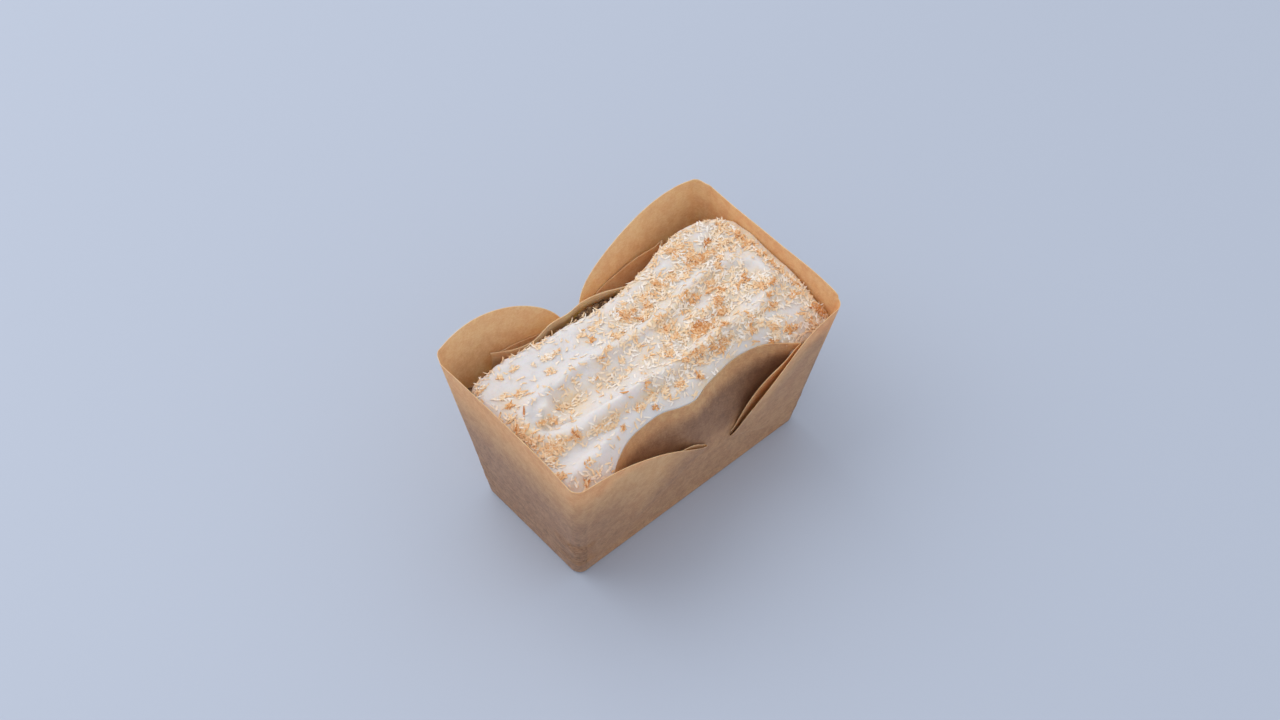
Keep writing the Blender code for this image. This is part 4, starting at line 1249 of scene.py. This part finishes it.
# How much a curled shred is bowed, how low its middle then sits, how it twists and how it shortens
BOW, BOW_SITS, TWIST, SHORTENS = 0.35, 0.35, 1.5, 0.12


def slivers(bm, owner, number):
    """A bar of unit size, doubled until there are enough. Each copy keeps its own number."""
    bmesh.ops.create_cube(bm, size=1.0)
    lengthwise = [edge for edge in bm.edges if abs(edge.verts[0].co.x - edge.verts[1].co.x) > 0.5]
    bmesh.ops.subdivide_edges(bm, edges=lengthwise, cuts=SHRED_CUTS)
    made = 1
    while made < number:
        copy = bmesh.ops.duplicate(bm, geom=bm.verts[:] + bm.edges[:] + bm.faces[:])["geom"]
        for vert in new_verts(copy):
            vert[owner] += made
        made *= 2
    bmesh.ops.delete(bm, geom=[vert for vert in bm.verts if vert[owner] >= number], context="VERTS")


def bent(local, size, curl):
    """Bends bars along their length, twists them and draws them thin at their ends."""
    along, across, up = local.T
    length, width, thick = size.T
    slim = 1 - TAPER * np.abs(2 * along) ** TAPER_POWER
    bow = curl * (4 * along * along - BOW_SITS) * length * BOW
    twist = across * width * along * curl * TWIST
    return np.stack((along * length * (1 - SHORTENS * curl * curl), across * width * slim,
                     up * thick * slim + bow + twist), axis=1)


def standing(normal, heading, tilt):
    """A turn that lays a shred on a surface, pointing a way and tipped up a little."""
    ahead = Vector((math.cos(heading), math.sin(heading), 0.0))
    ahead = (ahead - normal * ahead.dot(normal)).normalized()
    lay = Matrix((ahead, normal.cross(ahead), normal)).transposed()
    return lay @ Matrix.Rotation(tilt, 3, "Y")


def lay_shreds(name, shreds):
    """One piece from a list of shreds: place, turn, size, curl, toast."""
    bm = bmesh.new()
    owner = bm.verts.layers.int.new("owner")
    slivers(bm, owner, len(shreds))
    toast_layer = bm.verts.layers.float.new("toast")
    bm.verts.ensure_lookup_table()
    number = np.array([vert[owner] for vert in bm.verts])
    local = np.array([vert.co[:] for vert in bm.verts])
    place, turn_matrix, size, curl, toast = (np.array(column) for column in zip(*shreds))
    shape = bent(local, size[number], curl[number])
    shape = place[number] + np.einsum("nij,nj->ni", turn_matrix[number], shape)
    for vert, spot, mark in zip(bm.verts, shape, toast[number]):
        vert.co = spot
        vert[toast_layer] = mark
    bm.verts.layers.int.remove(owner)
    return piece_from(bm, name, coconut_finish, flat=True)


# %% Scatter the coconut
def surface_under(*pieces):
    """A function that finds the surface of some pieces where a line of sight meets it."""
    bm = bmesh.new()
    for piece in pieces:
        bm.from_mesh(piece.data)
    tree = BVHTree.FromBMesh(bm)
    bm.free()

    def find(x, y):
        aim = Vector((x * MM, y * MM, PHOTO_PLANE))
        spot, normal, _, _ = tree.ray_cast(CAMERA_POINT, aim - CAMERA_POINT)
        return spot, normal
    return find


# Shreds keep off the rim of the icing and off steep places
RIM_BARE, STEEP = 0.5 * MM, 0.3
# Lengths (shortest, longest, usual), widths and thicknesses in mm
SHRED_LENGTHS, SHRED_WIDTHS, SHRED_THICKS = (1.1, 3.0, 1.8), (0.34, 0.66), (0.07, 0.15)
# How many degrees shreds are tipped, more on a heap, how they curl, and how much toasting varies
TIPPED, TIPPED_MORE, CURLS, SHRED_TOAST_VARIES = 11, 12, (-0.35, 0.7), 0.12
# Height of a full heap, and the toasting below which a shred goes to the pale piece
HEAP_HEIGHT, PALE_BELOW = 0.8 * MM, 0.36
# A thin fringe stands along the far edge: how many, between which x, and how far in from the edge
FRINGE, FRINGE_X, FRINGE_IN, FRINGE_RIM = 90, (-47, 46), (1.2, 3.2), 0.1 * MM
FRINGE_LENGTHS, FRINGE_WIDTHS, FRINGE_THICK, FRINGE_TIPS = (1.2, 2.6), (0.3, 0.5), 0.12, (5, 45)
FRINGE_TOAST = (0.1, 0.5)
SINGLE_WIDTH, SINGLE_THICK, SINGLE_LIFT = 0.6, 0.18, 0.25
USUAL_CURL = 0.3


def off_rim(spot):
    """How far a point of the icing lies inside the outline of the spread."""
    return min(spot.y + icing_edge(NEAR, spot.x), icing_edge(FAR, spot.x) - spot.y)


def lying_shreds(dice, on_icing):
    """The shreds of the heaps and the carpet."""
    first_met = surface_under(icing, case, loaf)
    for x, y, heap, toast in coconut_spots(dice):
        spot, normal = first_met(x, y)
        size = Vector((dice.triangular(*SHRED_LENGTHS), dice.uniform(*SHRED_WIDTHS),
                       dice.uniform(*SHRED_THICKS))) * MM
        heading = dice.uniform(0, math.tau)
        tilt = math.radians(dice.gauss(0, TIPPED + TIPPED_MORE * heap))
        curl, darker = dice.uniform(*CURLS), dice.gauss(0, SHRED_TOAST_VARIES)
        touched, _ = on_icing(x, y)
        if touched is None or (touched - spot).length > MM or normal.z < STEEP or off_rim(spot) < RIM_BARE:
            continue
        lifted = spot + normal * (size.z * 0.5 + heap * HEAP_HEIGHT)
        yield lifted, standing(normal, heading, tilt), size, curl, min(max(toast + darker, 0.0), 1.0)


def fringe_shreds(dice, on_icing):
    for x in (dice.uniform(*FRINGE_X) for _ in range(FRINGE)):
        spot, normal = on_icing(x, FAR_OUTLINE(x * MM) / MM - dice.uniform(*FRINGE_IN))
        if spot is None or off_rim(spot) < FRINGE_RIM:
            continue
        size = Vector((dice.uniform(*FRINGE_LENGTHS), dice.uniform(*FRINGE_WIDTHS), FRINGE_THICK)) * MM
        lay = standing(normal, dice.uniform(0, math.tau), -math.radians(dice.uniform(*FRINGE_TIPS)))
        yield spot + normal * size.x * 0.25, lay, size, USUAL_CURL, dice.uniform(*FRINGE_TOAST)


def single_shreds(on_icing):
    for x, y, heading, length, toast, tilt in SINGLES:
        spot, normal = on_icing(x, y)
        if spot is None:
            continue
        heading, tilt = math.radians(heading), math.radians(tilt)
        lifted = spot + normal * (SINGLE_LIFT + 0.5 * length * math.sin(tilt)) * MM
        size = Vector((length, SINGLE_WIDTH, SINGLE_THICK)) * MM
        yield lifted, standing(normal, heading, -tilt), size, USUAL_CURL, toast


def scatter_coconut():
    dice = random.Random(11)
    on_icing = surface_under(icing)
    shreds = [*lying_shreds(dice, on_icing), *fringe_shreds(dice, on_icing), *single_shreds(on_icing)]
    pale = [shred for shred in shreds if shred[4] < PALE_BELOW]
    golden = [shred for shred in shreds if shred[4] >= PALE_BELOW]
    print("pale shreds:", len(pale), "toasted shreds:", len(golden))
    return lay_shreds("coconut_pale", pale), lay_shreds("coconut_toasted", golden)


coconut_finish = toasted_coconut()
scatter_coconut()

# %% [markdown]
# ## Floor and light
#
# The floor is plain and pale. The light is that of a room with a large window behind the object to
# the left: one big soft lamp there, and a pale sky that fills the rest.

# %% Floor
FLOOR_REACH = 3.0


def pale_floor():
    finish = Finish("pale_floor")
    clouds = finish.cloud(finish.places(), 400.0, 2.0)
    finish.wear(Base_Color=finish.blend(clouds, (0.47, 0.53, 0.65), (0.49, 0.55, 0.67)), Roughness=0.6)
    return finish.material


bm = bmesh.new()
bmesh.ops.create_grid(bm, x_segments=1, y_segments=1, size=FLOOR_REACH)
floor_mesh = bpy.data.meshes.new("floor")
bm.to_mesh(floor_mesh)
bm.free()
floor_mesh.materials.append(pale_floor())
floor = put("floor", floor_mesh)

# %% Light
WINDOW_PLACE, WINDOW_SIZE, WINDOW_POWER = (-0.35, 0.80, 0.95), 1.6, 7.0
WINDOW_COLOUR, SKY_COLOUR, SKY_STRENGTH = (1.0, 0.985, 0.96), (0.95, 0.965, 1.0, 1.0), 0.80

lamp_data = bpy.data.lights.new("window", "AREA")
lamp_data.shape = "DISK"
lamp_data.size = WINDOW_SIZE
lamp_data.energy = WINDOW_POWER
lamp_data.color = WINDOW_COLOUR
lamp = put("window", lamp_data)
lamp.location = WINDOW_PLACE
lamp.rotation_euler = (-Vector(WINDOW_PLACE)).to_track_quat("-Z", "Y").to_euler()

world = bpy.data.worlds.new("pale_sky")
world.use_nodes = True
sky = world.node_tree.nodes["Background"]
sky.inputs["Color"].default_value = SKY_COLOUR
sky.inputs["Strength"].default_value = SKY_STRENGTH
bpy.context.scene.world = world
print("lamp at", WINDOW_PLACE)
